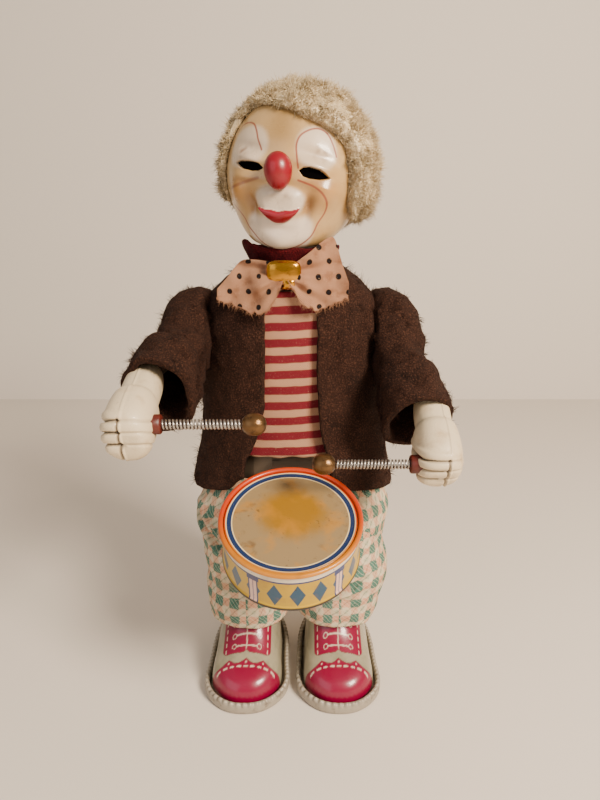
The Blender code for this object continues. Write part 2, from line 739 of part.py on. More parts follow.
def make_train(look, frames):
    """Great wheel on the key arbor, crank wheel and governor, and the winding key."""
    wheel_start = FRONT_PLATE_Y + PLATE_THICKNESS + 3.6
    second_start = REAR_PLATE_Y - 1.0 - WHEEL_THICKNESS - 1.0
    key_end = JACKET_HALF_DEPTH + 2.0

    front_end = FRONT_PLATE_Y - 0.3
    frame = frames["key"]
    arbor = rod("great_wheel", KEY_ARBOR_RADIUS, front_end, key_end + 8.0, 12, look["brass"], frame, "Y")
    weld(arbor, gear("great_wheel_teeth", GREAT_TEETH, wheel_start, WHEEL_THICKNESS, frame))

    bow_middle = key_end + KEY_DEPTH / 2.0 + 1.0
    turns = np.linspace(0.0, 2.0 * math.pi, 20, endpoint=False)
    pinch = 0.62 + 0.38 * np.abs(np.cos(turns))
    wings = [
        np.stack(
            [
                KEY_SPAN / 2.0 * np.cos(turns),
                bow_middle + KEY_DEPTH / 2.0 * np.sin(turns) * pinch,
                np.full(len(turns), level),
            ],
            axis=1,
        )
        for level in (-KEY_THICKNESS / 2.0, KEY_THICKNESS / 2.0)
    ]
    bore = KEY_ARBOR_RADIUS + GAP
    key = rod("winding_key", bore + 1.6, key_end, key_end + 11.0, 12, look["steel"], frame, "Y")
    weld(key, lofted("key_wings", wings, None, frame))
    socket = rod("key_socket", bore, key_end - 2.0, key_end + 8.0 + GAP, 12, None, frame, "Y")
    cut(key, socket)

    frame = frames["crank"]
    rear_end = REAR_PLATE_Y + PLATE_THICKNESS + 0.5
    crank = rod("crank_wheel", ARBOR_RADIUS, FRONT_PLATE_Y - 0.9, rear_end, 10, look["brass"], frame, "Y")
    pinion_width = WHEEL_THICKNESS + 1.2
    weld(crank, gear("crank_pinion", CRANK_PINION_TEETH, wheel_start - 0.6, pinion_width, frame, 0.5))
    weld(crank, gear("crank_wheel_teeth", CRANK_TEETH, second_start, WHEEL_THICKNESS, frame))
    disc_start = FRONT_PLATE_Y - 1.4
    weld(crank, rod("crank_disc", CRANK_DISC_RADIUS, disc_start, disc_start + 1.0, 14, None, frame, "Y"))
    pin_start = rocker_start() + ROCKER_THICKNESS + 0.5
    pin = rod("crank_pin", 0.9, pin_start, disc_start + 0.4, 8, None, frame, "Y", crank_pin_place())
    weld(crank, pin)

    frame = frames["governor"]
    governor = rod("governor", ARBOR_RADIUS, front_end, rear_end, 10, look["brass"], frame, "Y")
    pinion_start = second_start - 0.6
    weld(governor, gear("governor_pinion", GOVERNOR_PINION_TEETH, pinion_start, pinion_width, frame, 0.5))
    vane_start = FRONT_PLATE_Y + PLATE_THICKNESS + 2.0
    weld(governor, box("governor_vanes", (-6.0, vane_start, -0.6), (6.0, vane_start + 5.0, 0.6), None, frame))


def rest_sway():
    """The rocker's turn at rest, in degrees: it follows the arms away from their middle."""
    return (MIDDLE_ARM_DROP - RIGHT_ARM_DROP) * ROCKER_RATIO


def crank_pin_place():
    """The crank pin on its disc, where it stands in the rocker's fork at rest."""
    drop = ROCKER_HEIGHT - arbor_places()["crank"][1]
    across = -drop * math.tan(math.radians(rest_sway()))
    return (across, 0.0, math.sqrt(max(CRANK_THROW**2 - across**2, 0.0)))


def make_rocker(look, rocker):
    """The T-shaped rocker that the crank sways, with a tab back to the head's lever."""
    start = rocker_start()
    end = start + ROCKER_THICKNESS
    top = SHOULDER_HEIGHT - 1.2 - 1.0 - ROCKER_HEIGHT
    finger_top = head_lever_bottom() - 0.6 - ROCKER_HEIGHT
    crank_z = arbor_places()["crank"][1] - ROCKER_HEIGHT
    fork_end = crank_z - CRANK_THROW - 1.5
    fork_root = crank_z + CRANK_THROW + 1.5
    right_half = [
        (-1.2, finger_top),
        (-1.2, top),
        (-ROCKER_HALF_SPAN, top),
        (-ROCKER_HALF_SPAN, top - 4.5),
        (-4.0, top - 4.5),
        (-4.0, -3.4),
        (-3.4, -4.4),
        (-3.4, fork_end),
        (-1.4, fork_end),
        (-1.4, fork_root),
    ]
    outline = right_half + [(-x, z) for x, z in reversed(right_half)]
    hub = stamped("rocker_beam", outline, start, end, look["steel"], rocker)
    tab_top = finger_top - 0.3
    tab_low = tab_top - 1.5
    tab_end = head_lever_reach(tab_low)
    weld(hub, box("rocker_tab", (-0.9, start + 0.4, tab_low), (0.9, tab_end, tab_top), None, rocker))
    bore = ARBOR_RADIUS + ARBOR_CLEARANCE
    cut(hub, rod("rocker_bore", bore, start - 1.0, end + 1.0, 16, None, rocker, "Y"))


def head_lever_bottom():
    """The height of the underside of the lever on the neck post's foot."""
    return SHOULDER_HEIGHT + 6.0


def lever_yaw():
    """The neck lever's turn at rest, in degrees: it stands square when the arms are level."""
    return (RIGHT_ARM_DROP - MIDDLE_ARM_DROP) * HEAD_RATIO


def head_lever_reach(rise):
    """How far behind the neck the tab acts, so that the head turns by its ratio."""
    return ROCKER_RATIO * rise / HEAD_RATIO + 0.9


def sleeve_path():
    """The sleeve's middle line in the arm's frame: outwards, then forwards."""
    side = CHEST_HALF_WIDTH
    radius = SLEEVE_RADIUS
    return [
        (side - 4.0, 0.0, 0.0, radius - 1.0, radius - 1.0),
        (side + 3.0, 0.2, 0.0, radius - 0.8, radius - 0.8),
        (side + 9.0, 2.6, 0.0, radius - 0.3, radius),
        (side + 13.2, 10.0, -0.2, radius, radius + 0.4),
        (side + 13.6, CUFF_REACH * 0.4, -0.5, radius + 0.4, radius + 1.0),
        (side + 13.0, CUFF_REACH * 0.65, -0.8, radius, radius + 1.4),
        (side + 12.0, CUFF_REACH * 0.85, -1.2, CUFF_HALF_WIDTH - 0.5, CUFF_HALF_HEIGHT - 1.0),
        (side + 11.4, CUFF_REACH, -1.5, CUFF_HALF_WIDTH, CUFF_HALF_HEIGHT),
    ]


def make_sleeve(side, look, arm):
    """A felt sleeve from the armhole to the open cuff, with its soft creases."""
    stations = np.array(sleeve_path())
    places = smooth_path(stations, 8)
    middles = places[:, :3]
    headings = np.gradient(middles, axis=0)
    headings[0] = (1.0, 0.0, 0.0)
    headings[-1] = (0.0, 1.0, 0.0)
    angles = np.linspace(0.0, 2.0 * math.pi, SLEEVE_POINTS, endpoint=False)
    outer = np.zeros((len(places), SLEEVE_POINTS, 3))
    up = np.array([0.0, 0.0, 1.0])
    for row, (middle, heading) in enumerate(zip(middles, headings)):
        heading = heading / np.linalg.norm(heading)
        across = np.cross(heading, up)
        width, height = places[row, 3], places[row, 4]
        crease = 1.0 + 0.03 * np.sin(3.0 * angles + 1.1 * row) * math.sin(math.pi * row / (len(places) - 1))
        sideways, upright = width * np.cos(angles), height * np.sin(angles)
        ring = across * sideways[:, None] + up * upright[:, None]
        outer[row] = middle + ring * crease[:, None]
    inner = outer - (outer - middles[:, None, :]) * (
        SLEEVE_THICKNESS / np.linalg.norm(outer - middles[:, None, :], axis=2, keepdims=True)
    )
    flip = np.array([side, -1.0, 1.0])
    sheet("sleeve_" + side_name(side), outer * flip, inner * flip, look["felt"], arm, True)


def make_arm(side, look, arm):
    """Shoulder shaft, bent arm tube, fist, stick plug and sleeve on one arm."""
    name = side_name(side)
    flange_x = CHEST_HALF_WIDTH + 3.5
    inner_end = ROCKER_HALF_SPAN - 6.0
    profile = [
        (SHAFT_RADIUS, side * inner_end),
        (SHAFT_RADIUS, side * (flange_x - 1.0)),
        (SHAFT_RADIUS + 3.0, side * (flange_x - 1.0)),
        (SHAFT_RADIUS + 3.0, side * flange_x),
    ]
    shaft = spun("shoulder_shaft_" + name, profile, 14, look["steel"], arm, "X")
    lever = empty("lever_frame_" + name, arm, (0.0, 0.0, 0.0), (-MIDDLE_ARM_DROP, 0.0, 0.0))
    low_x = min(side * (inner_end + 0.5), side * (inner_end + 4.5))
    far, near = (low_x, -SHAFT_LEVER_LENGTH - 1.2, -1.2), (low_x + 4.0, 0.0, 1.2)
    weld(shaft, box("shaft_lever_" + name, far, near, None, lever))

    tube_points = [
        (flange_x + GAP, 0.0, 0.0),
        (flange_x + 4.5, 0.6, 0.0),
        (HAND_OFFSET - 3.0, 4.5, 0.0),
        (HAND_OFFSET, 13.0, 0.0),
        (HAND_OFFSET, 26.0, 0.0),
        (HAND_OFFSET, ARM_REACH - FIST_BACK - FOREARM_LENGTH + 5.0, 0.0),
    ]
    path = smooth_path(tube_points, 11) * np.array([side, -1.0, 1.0])
    wire("arm_tube_" + name, path, ARM_TUBE_RADIUS, 2, look["tin"], arm)

    make_fist(side, look, arm)
    outer_face = HAND_OFFSET - FIST_HALF_WIDTH - PLUG_STANDS_OUT
    start, end = side * (outer_face + PLUG_LENGTH), side * outer_face
    hand_place = (0.0, -ARM_REACH, 0.0)
    rod("stick_plug_" + name, PLUG_RADIUS, start, end, 12, look["plug"], arm, "X", hand_place)
    make_sleeve(side, look, arm)


def make_fist(side, look, arm):
    """A moulded fist on a short forearm; three grooves on its outer half part the curled fingers."""
    reach = ARM_REACH
    wide, tall = FIST_HALF_WIDTH, FIST_HALF_HEIGHT
    back, front = FIST_BACK, FIST_FRONT
    sections = [
        (reach - back - FOREARM_LENGTH, 0.0, FOREARM_RADIUS, FOREARM_RADIUS),
        (reach - back - FOREARM_LENGTH * 0.67, 0.0, FOREARM_RADIUS + 1.0, FOREARM_RADIUS + 1.2),
        (reach - back - FOREARM_LENGTH * 0.25, 0.0, WRIST_RADIUS, WRIST_RADIUS + 0.6),
        (reach - back, 0.0, WRIST_RADIUS, WRIST_RADIUS + 1.4),
        (reach - back * 0.71, -0.4, wide * 0.92, tall * 0.9),
        (reach - back * 0.29, -0.6, wide, tall),
        (reach + front * 0.28, -0.8, wide, tall),
        (reach + front * 0.75, -1.0, wide * 0.9, tall * 0.84),
        (reach + front, -1.2, wide * 0.6, tall * 0.5),
    ]
    rings = []
    for forward, drop, half_width, half_height in sections:
        ring = oval_ring(0.0, 0.0, 0.0, half_width, half_height, FIST_POINTS, 2.4)
        x = side * HAND_OFFSET + ring[:, 0]
        rings.append(np.stack([x, np.full(FIST_POINTS, -forward), drop - ring[:, 1]], axis=1))
    tag = side_name(side)
    fist = lofted("hand_" + tag, rings, look["hand"], arm)
    socket_end = reach - back - FOREARM_LENGTH + 5.0 + GAP
    socket = rod(
        "wrist_socket_" + tag, ARM_TUBE_RADIUS + GAP, -socket_end, -socket_end + 12.0, 12, None, arm, "Y",
        (side * HAND_OFFSET, 0.0, 0.0),
    )
    cut(fist, socket)
    face = HAND_OFFSET - wide - PLUG_STANDS_OUT
    start, end = side * (face - 2.0), side * (face + PLUG_LENGTH + GAP)
    socket = rod("plug_socket_" + tag, PLUG_RADIUS + GAP, start, end, 12, None, arm, "X", (0.0, -reach, 0.0))
    cut(fist, socket)
    middle, half_length = reach + (front - back) / 2.0, (front + back) / 2.0 - 0.6
    turns = np.radians(np.linspace(-25.0, 95.0, 7))
    for number, rise in enumerate((tall * 0.28, -tall * 0.18, -tall * 0.6)):
        walls = []
        for grow, half in ((6.0, GROOVE_WIDTH * 2.6), (-GROOVE_DEPTH, GROOVE_WIDTH / 2.0)):
            x = side * (HAND_OFFSET + (wide + grow) * signed_power(np.cos(turns), 0.7))
            y = -(middle + (half_length + grow) * signed_power(np.sin(turns), 0.7))
            walls.append(np.array([np.stack([x, y, np.full(7, rise + z)], axis=1) for z in (-half, half)]))
        cut(fist, sheet(f"finger_groove_{tag}_{number}", walls[0], walls[1], None, arm, False))


def spring_start():
    """Distance from the middle plane to the spring's end at the plug."""
    return HAND_OFFSET - FIST_HALF_WIDTH - PLUG_STANDS_OUT - GAP


def make_stick(side, look, stick):
    """The coil spring of one drumstick and the bead on its end, along X in the arm's frame."""
    name = side_name(side)
    straight = SPRING_WIRE
    coiled = SPRING_LENGTH - 2.0 * straight
    turns = np.linspace(0.0, SPRING_CURLS, SPRING_CURLS * CURL_POINTS + 1)
    along = coiled * (turns + 0.18 * np.sin(math.pi * turns / SPRING_CURLS)) / SPRING_CURLS
    x = -(straight + along)
    angle = 2.0 * math.pi * turns
    coil = np.stack([x, SPRING_RADIUS * np.cos(angle), SPRING_RADIUS * np.sin(angle)], axis=1)
    first = np.array([[0.0, SPRING_RADIUS, 0.0]])
    last = np.array([[-SPRING_LENGTH, SPRING_RADIUS, 0.0]])
    points = np.vstack([first, coil, last]) * np.array([side, 1.0, 1.0])
    wire("stick_spring_" + name, points, SPRING_WIRE / 2.0, 1, look["steel"], stick)
    apart = np.min(np.linalg.norm(coil[CURL_POINTS:] - coil[:-CURL_POINTS], axis=1))
    print(f"stick_spring_{name}: least gap between curls {apart - SPRING_WIRE:.2f} mm")
    middle = SPRING_LENGTH + GAP + BEAD_RADIUS - 0.35
    polar = np.linspace(math.radians(22.0), math.radians(158.0), 8)
    outline = [(BEAD_RADIUS * math.sin(t), -side * (middle - BEAD_RADIUS * math.cos(t))) for t in polar]
    spun("stick_bead_" + name, outline, 14, look["bead"], stick, "X")


def drum_frame_turn():
    """The drum's head faces up and forward."""
    return (DRUM_TILT, 0.0, 0.0)


def make_drum(look, drum):
    """Drum shell with rolled rims, its head and its bottom, about the drum's own axis."""
    radius = DRUM_RADIUS
    rim = DRUM_RIM
    inner = radius - DRUM_WALL
    low = -DRUM_HEIGHT
    profile = [
        (inner, low),
        (radius + rim * 0.5, low),
        (radius + rim * 0.5, low + rim),
        (radius, low + 2.0 * rim),
        (radius, -2.0 * rim),
        (radius + rim, -rim),
        (radius + rim * 0.4, rim * 0.4),
        (radius - rim * 1.6, rim * 0.4),
        (inner, -rim),
    ]
    turned("drum_shell", profile, DRUM_STEPS, look["drum"], drum)
    seat = inner - GAP
    top = -rim - GAP
    skin = [(seat, top - 1.4), (seat, top - 0.6), (seat - 2.0, top)]
    spun("drum_head", skin, DRUM_STEPS, look["drum_head"], drum)
    spun("drum_bottom", [(seat, low + 0.2), (seat, low + 1.2)], DRUM_STEPS, look["tin"], drum)


def drum_back(below):
    """A point on the strap's middle line down the drum's back, this far below its head."""
    out = DRUM_RADIUS + GAP + BRACKET_THICKNESS / 2.0
    tilt = math.radians(DRUM_TILT)
    y = -DRUM_FORWARD + math.cos(tilt) * out + math.sin(tilt) * below
    z = DRUM_TOP_HEIGHT + math.sin(tilt) * out - math.cos(tilt) * below
    return y, z


def make_bracket(look, torso):
    """The bent strap that hangs the drum from the trunk, and its rivet."""
    front = -(SHELL_HALF_DEPTH + GAP + BRACKET_THICKNESS / 2.0)
    rivet_z = rivet_place()[2]
    corner_y, corner_z = drum_back(3.4)
    foot_y, foot_z = drum_back(14.0)
    line = [
        (front, rivet_z - 3.2),
        (front, corner_z + 0.6),
        (corner_y, corner_z),
        (foot_y, foot_z),
    ]
    line = np.array(line)
    normals = []
    for index in range(len(line)):
        before = line[max(index - 1, 0)]
        after = line[min(index + 1, len(line) - 1)]
        here = line[index]
        first = (here - before) / max(np.linalg.norm(here - before), 1e-9)
        second = (after - here) / max(np.linalg.norm(after - here), 1e-9)
        joined = first + second
        joined /= np.linalg.norm(joined)
        spread = 1.0 if index in (0, len(line) - 1) else 1.0 / max(0.4, float(np.dot(joined, second)))
        normals.append(np.array([-joined[1], joined[0]]) * spread)
    normals = np.array(normals)
    half = BRACKET_THICKNESS / 2.0
    grids = []
    for grow in (half, -half):
        edge = line + normals * grow
        rows = [
            np.stack([np.full(len(edge), x), edge[:, 0], edge[:, 1]], axis=1)
            for x in (-BRACKET_WIDTH / 2.0, BRACKET_WIDTH / 2.0)
        ]
        grids.append(np.array(rows))
    strap = sheet("drum_bracket", grids[0], grids[1], look["steel"], torso, False)
    outside = SHELL_HALF_DEPTH + GAP + BRACKET_THICKNESS
    bore = RIVET_RADIUS + GAP
    hole = rod("rivet_hole_strap", bore, -outside - 2.0, -outside + 3.0, 12, None, torso, "Y", rivet_place())
    cut(strap, hole)
    inside = SHELL_HALF_DEPTH - SHELL_WALL
    profile = [
        (RIVET_HEAD_RADIUS, -outside - GAP - 0.9),
        (RIVET_HEAD_RADIUS, -outside - GAP),
        (RIVET_RADIUS, -outside - GAP),
        (RIVET_RADIUS, -inside + GAP),
        (RIVET_HEAD_RADIUS, -inside + GAP),
        (RIVET_HEAD_RADIUS, -inside + 1.2),
    ]
    spun("bracket_rivet", profile, 12, look["steel"], torso, "Y", rivet_place())


def leg_cloth(side, grow, low, high):
    """Rings of one trouser leg, swollen by grow, with its main folds.

    Each station is a height above the hem, how far the leg bulges outwards there, and how much
    wider and deeper it is than the hem.
    """
    top = HIP_HEIGHT + 3.0
    stations = np.array(
        [
            (0.0, 0.0, 0.0, 0.0),
            (6.0, 0.2, 1.4, 1.2),
            (18.0, 0.6, 2.4, 2.6),
            (34.0, 0.8, 3.8, 4.0),
            (48.0, 0.4, 4.8, 4.8),
            (top - TROUSER_HEM_HEIGHT, 0.0, 4.6, 4.4),
        ]
    )
    stations += (TROUSER_HEM_HEIGHT, 0.0, HEM_HALF_WIDTH, HEM_HALF_DEPTH)
    heights = np.linspace(low, high, 6)
    angles = np.linspace(0.0, 2.0 * math.pi, LEG_POINTS, endpoint=False)
    rings = []
    for z in heights:
        bulge, width, depth = (np.interp(z, stations[:, 0], stations[:, column]) for column in (1, 2, 3))
        lift = (z - TROUSER_HEM_HEIGHT) / (top - TROUSER_HEM_HEIGHT)
        fold = 0.035 * np.sin(4.0 * angles + 5.0 * lift) + 0.02 * np.sin(7.0 * angles - 4.0 * lift + side)
        fold *= math.sin(math.pi * min(max(lift, 0.0), 1.0)) ** 0.5
        scale = 1.0 + fold
        ring = oval_arc(0.0, 0.0, z, 1.0, 1.0, angles, 2.2)
        x = side * (FOOT_SPACING / 2.0 + bulge) + side * ring[:, 0] * (width * scale + grow)
        y = ring[:, 1] * (depth * scale + grow)
        rings.append(np.stack([x, y, np.full(LEG_POINTS, z)], axis=1))
    return rings


def hip_cloth(grow, low, high):
    """Rings of the trousers' seat and waist, swollen by grow."""
    stations = np.array(
        [
            (HIP_HEIGHT - 10.0, HIP_HALF_WIDTH - 0.2, HIP_HALF_DEPTH + 1.3, 3.0),
            (HIP_HEIGHT - 3.0, HIP_HALF_WIDTH, HIP_HALF_DEPTH + 0.5, 2.8),
            (JACKET_HEM_HEIGHT - 1.0, HIP_HALF_WIDTH - 3.0, HIP_HALF_DEPTH - 1.0, 2.4),
            (TROUSER_TOP, SHELL_HALF_WIDTH + 2.0, SHELL_HALF_DEPTH + 2.0, 2.1),
        ]
    )
    rings = []
    for z in np.linspace(low, high, 4):
        width, depth, power = (np.interp(z, stations[:, 0], stations[:, column]) for column in (1, 2, 3))
        rings.append(oval_ring(0.0, 0.0, z, width + grow, depth + grow, 24, power))
    return rings


def make_trousers(look, torso):
    """Baggy trousers: a seat and two legs, open at the waist and at both hems."""
    low = HIP_HEIGHT - 10.0
    thick = TROUSER_THICKNESS
    trousers = lofted("trousers", hip_cloth(0.0, low, TROUSER_TOP), look["plaid"], torso)
    for side in (-1, 1):
        tag = side_name(side)
        leg = lofted("leg_outside_" + tag, leg_cloth(side, 0.0, TROUSER_HEM_HEIGHT, low + 6.0), None, torso)
        weld(trousers, leg)
    cut(trousers, lofted("seat_inside", hip_cloth(-thick, low + thick, TROUSER_TOP + 2.0), None, torso))
    for side in (-1, 1):
        tag = side_name(side)
        rings = leg_cloth(side, -thick, TROUSER_HEM_HEIGHT - 2.0, low + 4.5)
        cut(trousers, lofted("leg_inside_" + tag, rings, None, torso))


def make_shirt(look, torso):
    """The striped shirt front, a curved panel on the trunk."""
    angles = half_shell_angles(0.0)[3:-3]
    shared = [z for z, _, _ in shell_levels()[:-2] if z > SHIRT_HEM_HEIGHT]
    heights = [SHIRT_HEM_HEIGHT] + shared
    grids = []
    for grow in (SHIRT_LIFT + SHIRT_THICKNESS, SHIRT_LIFT):
        rows = []
        for z in heights:
            width, depth = shell_at(z)
            rows.append(oval_arc(0.0, 0.0, z, width + grow, depth + grow, angles))
        grids.append(np.array(rows))
    sheet("shirt_front", grids[0], grids[1], look["shirt"], torso, False)


def jacket_levels():
    """Height above the hem, half-width and half-depth of the jacket's outside."""
    shoulder = SHOULDER_HEIGHT - JACKET_HEM_HEIGHT
    slope = SHOULDER_BELOW_NECK
    return [
        (0.0, JACKET_HALF_WIDTH, JACKET_HALF_DEPTH),
        (7.0, JACKET_HALF_WIDTH - 0.6, JACKET_HALF_DEPTH - 0.4),
        (33.0, CHEST_HALF_WIDTH + 1.4, CHEST_HALF_DEPTH + 1.0),
        (shoulder - 4.0, CHEST_HALF_WIDTH, CHEST_HALF_DEPTH),
        (shoulder + slope * 0.22, CHEST_HALF_WIDTH - 1.4, CHEST_HALF_DEPTH - 1.0),
        (shoulder + slope * 0.49, CHEST_HALF_WIDTH - 4.0, CHEST_HALF_DEPTH - 3.0),
        (shoulder + slope * 0.755, CHEST_HALF_WIDTH - 10.5, CHEST_HALF_DEPTH - 6.0),
        (shoulder + slope * 0.98, CHEST_HALF_WIDTH - 17.0, CHEST_HALF_DEPTH - 8.5),
        (shoulder + slope + 3.0, COLLAR_RADIUS + 4.5, COLLAR_RADIUS + 3.8),
    ]


def make_jacket(look, torso):
    """The felt jacket's body, open down the front, with an armhole on each side."""
    columns = 23
    start = JACKET_OPENING_LEFT
    end = FULL_TURN - JACKET_OPENING_RIGHT
    share = np.linspace(0.0, 1.0, columns)
    rows = []
    for lift, width, depth in jacket_levels():
        angles = np.radians(start + (end - start) * share)
        edge = np.minimum(share, 1.0 - share) * (end - start)
        corner = np.clip(1.0 - edge / 12.0, 0.0, 1.0) ** 2
        front = 0.5 + 0.5 * np.cos(angles)
        lower = np.clip(1.0 - lift / 33.0, 0.0, 1.0)
        raise_by = (JACKET_FRONT_RISE * front**2 + 6.0 * corner) * lower
        fold = 1.0 + lower * 0.018 * np.sin(6.0 * angles) * (1.0 - front**4)
        z = JACKET_HEM_HEIGHT + lift + raise_by
        rows.append(oval_arc(0.0, 0.0, z, width * fold, depth * fold, angles, 2.1))
    outer = np.array(rows)
    inner = outer - grid_normals(outer, False) * JACKET_THICKNESS
    jacket = sheet("jacket_body", outer, inner, look["felt"], torso, False)
    for side in (-1, 1):
        hole = rod(
            "armhole_" + side_name(side),
            SLEEVE_RADIUS - 1.0 + GAP * 4.0,
            side * (CHEST_HALF_WIDTH - 12.0),
            side * (CHEST_HALF_WIDTH + 8.0),
            18,
            None,
            torso,
            "X",
            (0.0, 0.0, SHOULDER_HEIGHT),
        )
        cut(jacket, hole)
    back = CHEST_HALF_DEPTH
    bore, key_place = KEY_ARBOR_RADIUS + 2.0, (0.0, 0.0, KEY_HEIGHT)
    cut(jacket, rod("key_hole_jacket", bore, back - 8.0, back + 8.0, 16, None, torso, "Y", key_place))


def make_neckwear(look, torso):
    """Felt collar, spotted bow and the gilt clasp that holds it."""
    low = TRUNK_TOP - GAP * 2.0
    radius = COLLAR_RADIUS
    thick = COLLAR_THICKNESS
    flare = COLLAR_FLARE
    profile = [
        (radius - thick, low),
        (radius, low),
        (radius + flare, low + COLLAR_HEIGHT),
        (radius + flare - thick, low + COLLAR_HEIGHT),
    ]
    turned("collar", profile, 20, look["collar"], torso)

    bow_y = -(CHEST_HALF_DEPTH - 4.4)
    bow_z = low
    across = np.linspace(-1.0, 1.0, 13)
    up = np.linspace(-1.0, 1.0, 5)
    spread, rise = np.meshgrid(across, up)
    half_height = BOW_MIDDLE_HEIGHT / 2.0 + (BOW_END_HEIGHT - BOW_MIDDLE_HEIGHT) / 2.0 * np.sin(
        np.clip(np.abs(spread) * 1.25, 0.0, 1.0) * math.pi / 2.0
    )
    half_height *= 1.0 - 0.28 * np.clip(np.abs(spread) - 0.8, 0.0, 1.0) / 0.2
    x = spread * BOW_WIDTH / 2.0 - 1.5
    z = bow_z + rise * half_height
    waves = (1.1 * np.cos(3.0 * math.pi * spread) + 0.5 * np.sin(2.0 * math.pi * rise)) * np.abs(spread)
    y = bow_y + BOW_LEAN * (z - bow_z) + 5.0 * spread**2 + waves
    outer = np.stack([x, y, z], axis=2)
    knot = np.exp(-((spread / 0.16) ** 2))
    behind = y + BOW_THICKNESS
    seat = np.maximum(radius + flare, shell_at(z)[1] + SHIRT_LIFT + SHIRT_THICKNESS) + GAP
    behind += knot * (-seat - behind)
    inner = np.stack([x, behind, z], axis=2)
    sheet("bow_tie", outer, inner, look["bow"], torso, False)

    half_width = CLASP_WIDTH / 2.0
    half_tall = CLASP_HEIGHT / 2.0
    plate = []
    for forward, shrink in ((GAP * 1.6, 0.0), (CLASP_THICKNESS * 0.6, 0.0), (CLASP_THICKNESS, 1.2)):
        ring = oval_ring(0.0, 0.0, 0.0, half_width - shrink, half_tall - shrink, 20, 4.0)
        rise = -ring[:, 1]
        plate.append(np.stack([ring[:, 0] - 1.5, bow_y - forward + BOW_LEAN * rise, bow_z + rise], axis=1))
    lofted("bow_clasp", plate, look["gilt"], torso)


def hump(angle, middle, spread):
    """A rounded bump of height one about a middle angle in degrees; the angle itself is in radians."""
    return np.exp(-(((np.degrees(angle) - middle) / spread) ** 2))


def skull_point(polar, around, grow=0.0):
    """A point of the head's outside: polar from the crown, around from the face, radians.

    An egg with cheeks that stand out and a broad chin that comes forward and down.
    """
    face = np.clip(np.cos(around), 0.0, 1.0)
    cheek = CHEEK_SWELL * hump(polar, 104.0, 22.0) * hump(np.abs(around), 38.0, 24.0)
    chin = hump(polar, 138.0, 16.0) * face
    depth = SKULL_HALF_DEPTH + grow + cheek + CHIN_SWELL * chin
    x = (SKULL_HALF_WIDTH + grow + cheek) * np.sin(polar) * np.sin(around)
    y = -depth * np.sin(polar) * np.cos(around)
    z = SKULL_HALF_HEIGHT + (SKULL_HALF_HEIGHT + grow) * np.cos(polar) - CHIN_DROP * chin
    return np.stack(np.broadcast_arrays(x, y, z), axis=-1)


def skull_ring(polar_degrees, grow, count):
    """One ring of the head at a polar angle."""
    around = np.linspace(-math.pi, math.pi, count, endpoint=False)
    return skull_point(np.full(count, math.radians(polar_degrees)), around, grow)


def make_head(look, head):
    """Hollow moulded head with open eye slots, a nose, an eye backing and a wig."""
    count = SKULL_POINTS
    polars = [8, 32, 56, 76, 92, 106, 120, 134, 146, 154]
    outer = [skull_ring(polar, 0.0, count) for polar in polars]
    inner = [skull_ring(polar, -HEAD_WALL, count) for polar in reversed(polars[::2])]
    around = np.linspace(-math.pi, math.pi, count, endpoint=False)
    rim = []
    ring, bore = NECK_RING_RADIUS, NECK_RING_RADIUS - HEAD_WALL
    for radius, z in ((ring, 1.2), (ring, 0.0), (bore, 0.0), (bore, 1.8 + HEAD_WALL)):
        rim.append(np.stack([radius * np.sin(around), -radius * np.cos(around), np.full(count, z)], axis=1))
    face = lofted("head", outer + rim + inner, look["face"], head)
    eye_z = SKULL_HALF_HEIGHT - EYE_DROP
    for side in (-1, 1):
        x = side * EYE_SPACING / 2.0
        turns = np.linspace(0.0, 2.0 * math.pi, EYE_POINTS, endpoint=False)
        lens_x = x + EYE_WIDTH / 2.0 * np.cos(turns)
        lens_z = eye_z + EYE_HEIGHT / 2.0 * np.sign(np.sin(turns)) * np.abs(np.sin(turns)) ** 1.3
        ends = (-SKULL_HALF_DEPTH - 4.0, -SKULL_HALF_DEPTH * 0.5)
        rings = [np.stack([lens_x, np.full(len(turns), y), lens_z], axis=1) for y in ends]
        cut(face, lofted("eye_slot_" + side_name(side), rings, None, head))

    backing_y = -SKULL_HALF_DEPTH + 7.0
    share = backing_y / (SKULL_HALF_DEPTH - HEAD_WALL)
    inside = (SKULL_HALF_WIDTH - HEAD_WALL) * math.sqrt(1.0 - share**2) - GAP
    box(
        "eye_backing",
        (-inside, backing_y, eye_z - EYE_HEIGHT),
        (inside, backing_y + 0.8, eye_z + EYE_HEIGHT),
        look["black"],
        head,
    )

    nose_z = SKULL_HALF_HEIGHT - NOSE_DROP
    polar = np.radians(np.linspace(10.0, 170.0, 8))
    turns = np.linspace(0.0, 2.0 * math.pi, NOSE_POINTS, endpoint=False)
    nose_y = -SKULL_HALF_DEPTH - NOSE_HALF_DEPTH + 2.2
    rings = [
        np.stack(
            [
                NOSE_HALF_WIDTH * math.sin(t) * np.sin(turns),
                nose_y - NOSE_HALF_DEPTH * math.sin(t) * np.cos(turns),
                np.full(NOSE_POINTS, nose_z + NOSE_HALF_HEIGHT * math.cos(t)),
            ],
            axis=1,
        )
        for t in polar
    ]
    nose = lofted("nose", rings, look["red"], head)
    bed = lofted("nose_bed", [skull_ring(polar, GAP, count) for polar in polars], None, head)
    cut(nose, bed)
    make_wig(look, head)
    return face


def hairline(around):
    """How far down from the crown the hair reaches, in degrees, at each angle from the face."""
    aside = [0.0, 20.0, 44.0, 53.0, 58.0, 68.0, 95.0, 130.0, 180.0]
    reach = [46.0, 50.0, 59.0, 69.0, 90.0, 112.0, 118.0, 122.0, 124.0]
    return np.interp(np.abs(np.degrees(around)), aside, reach)


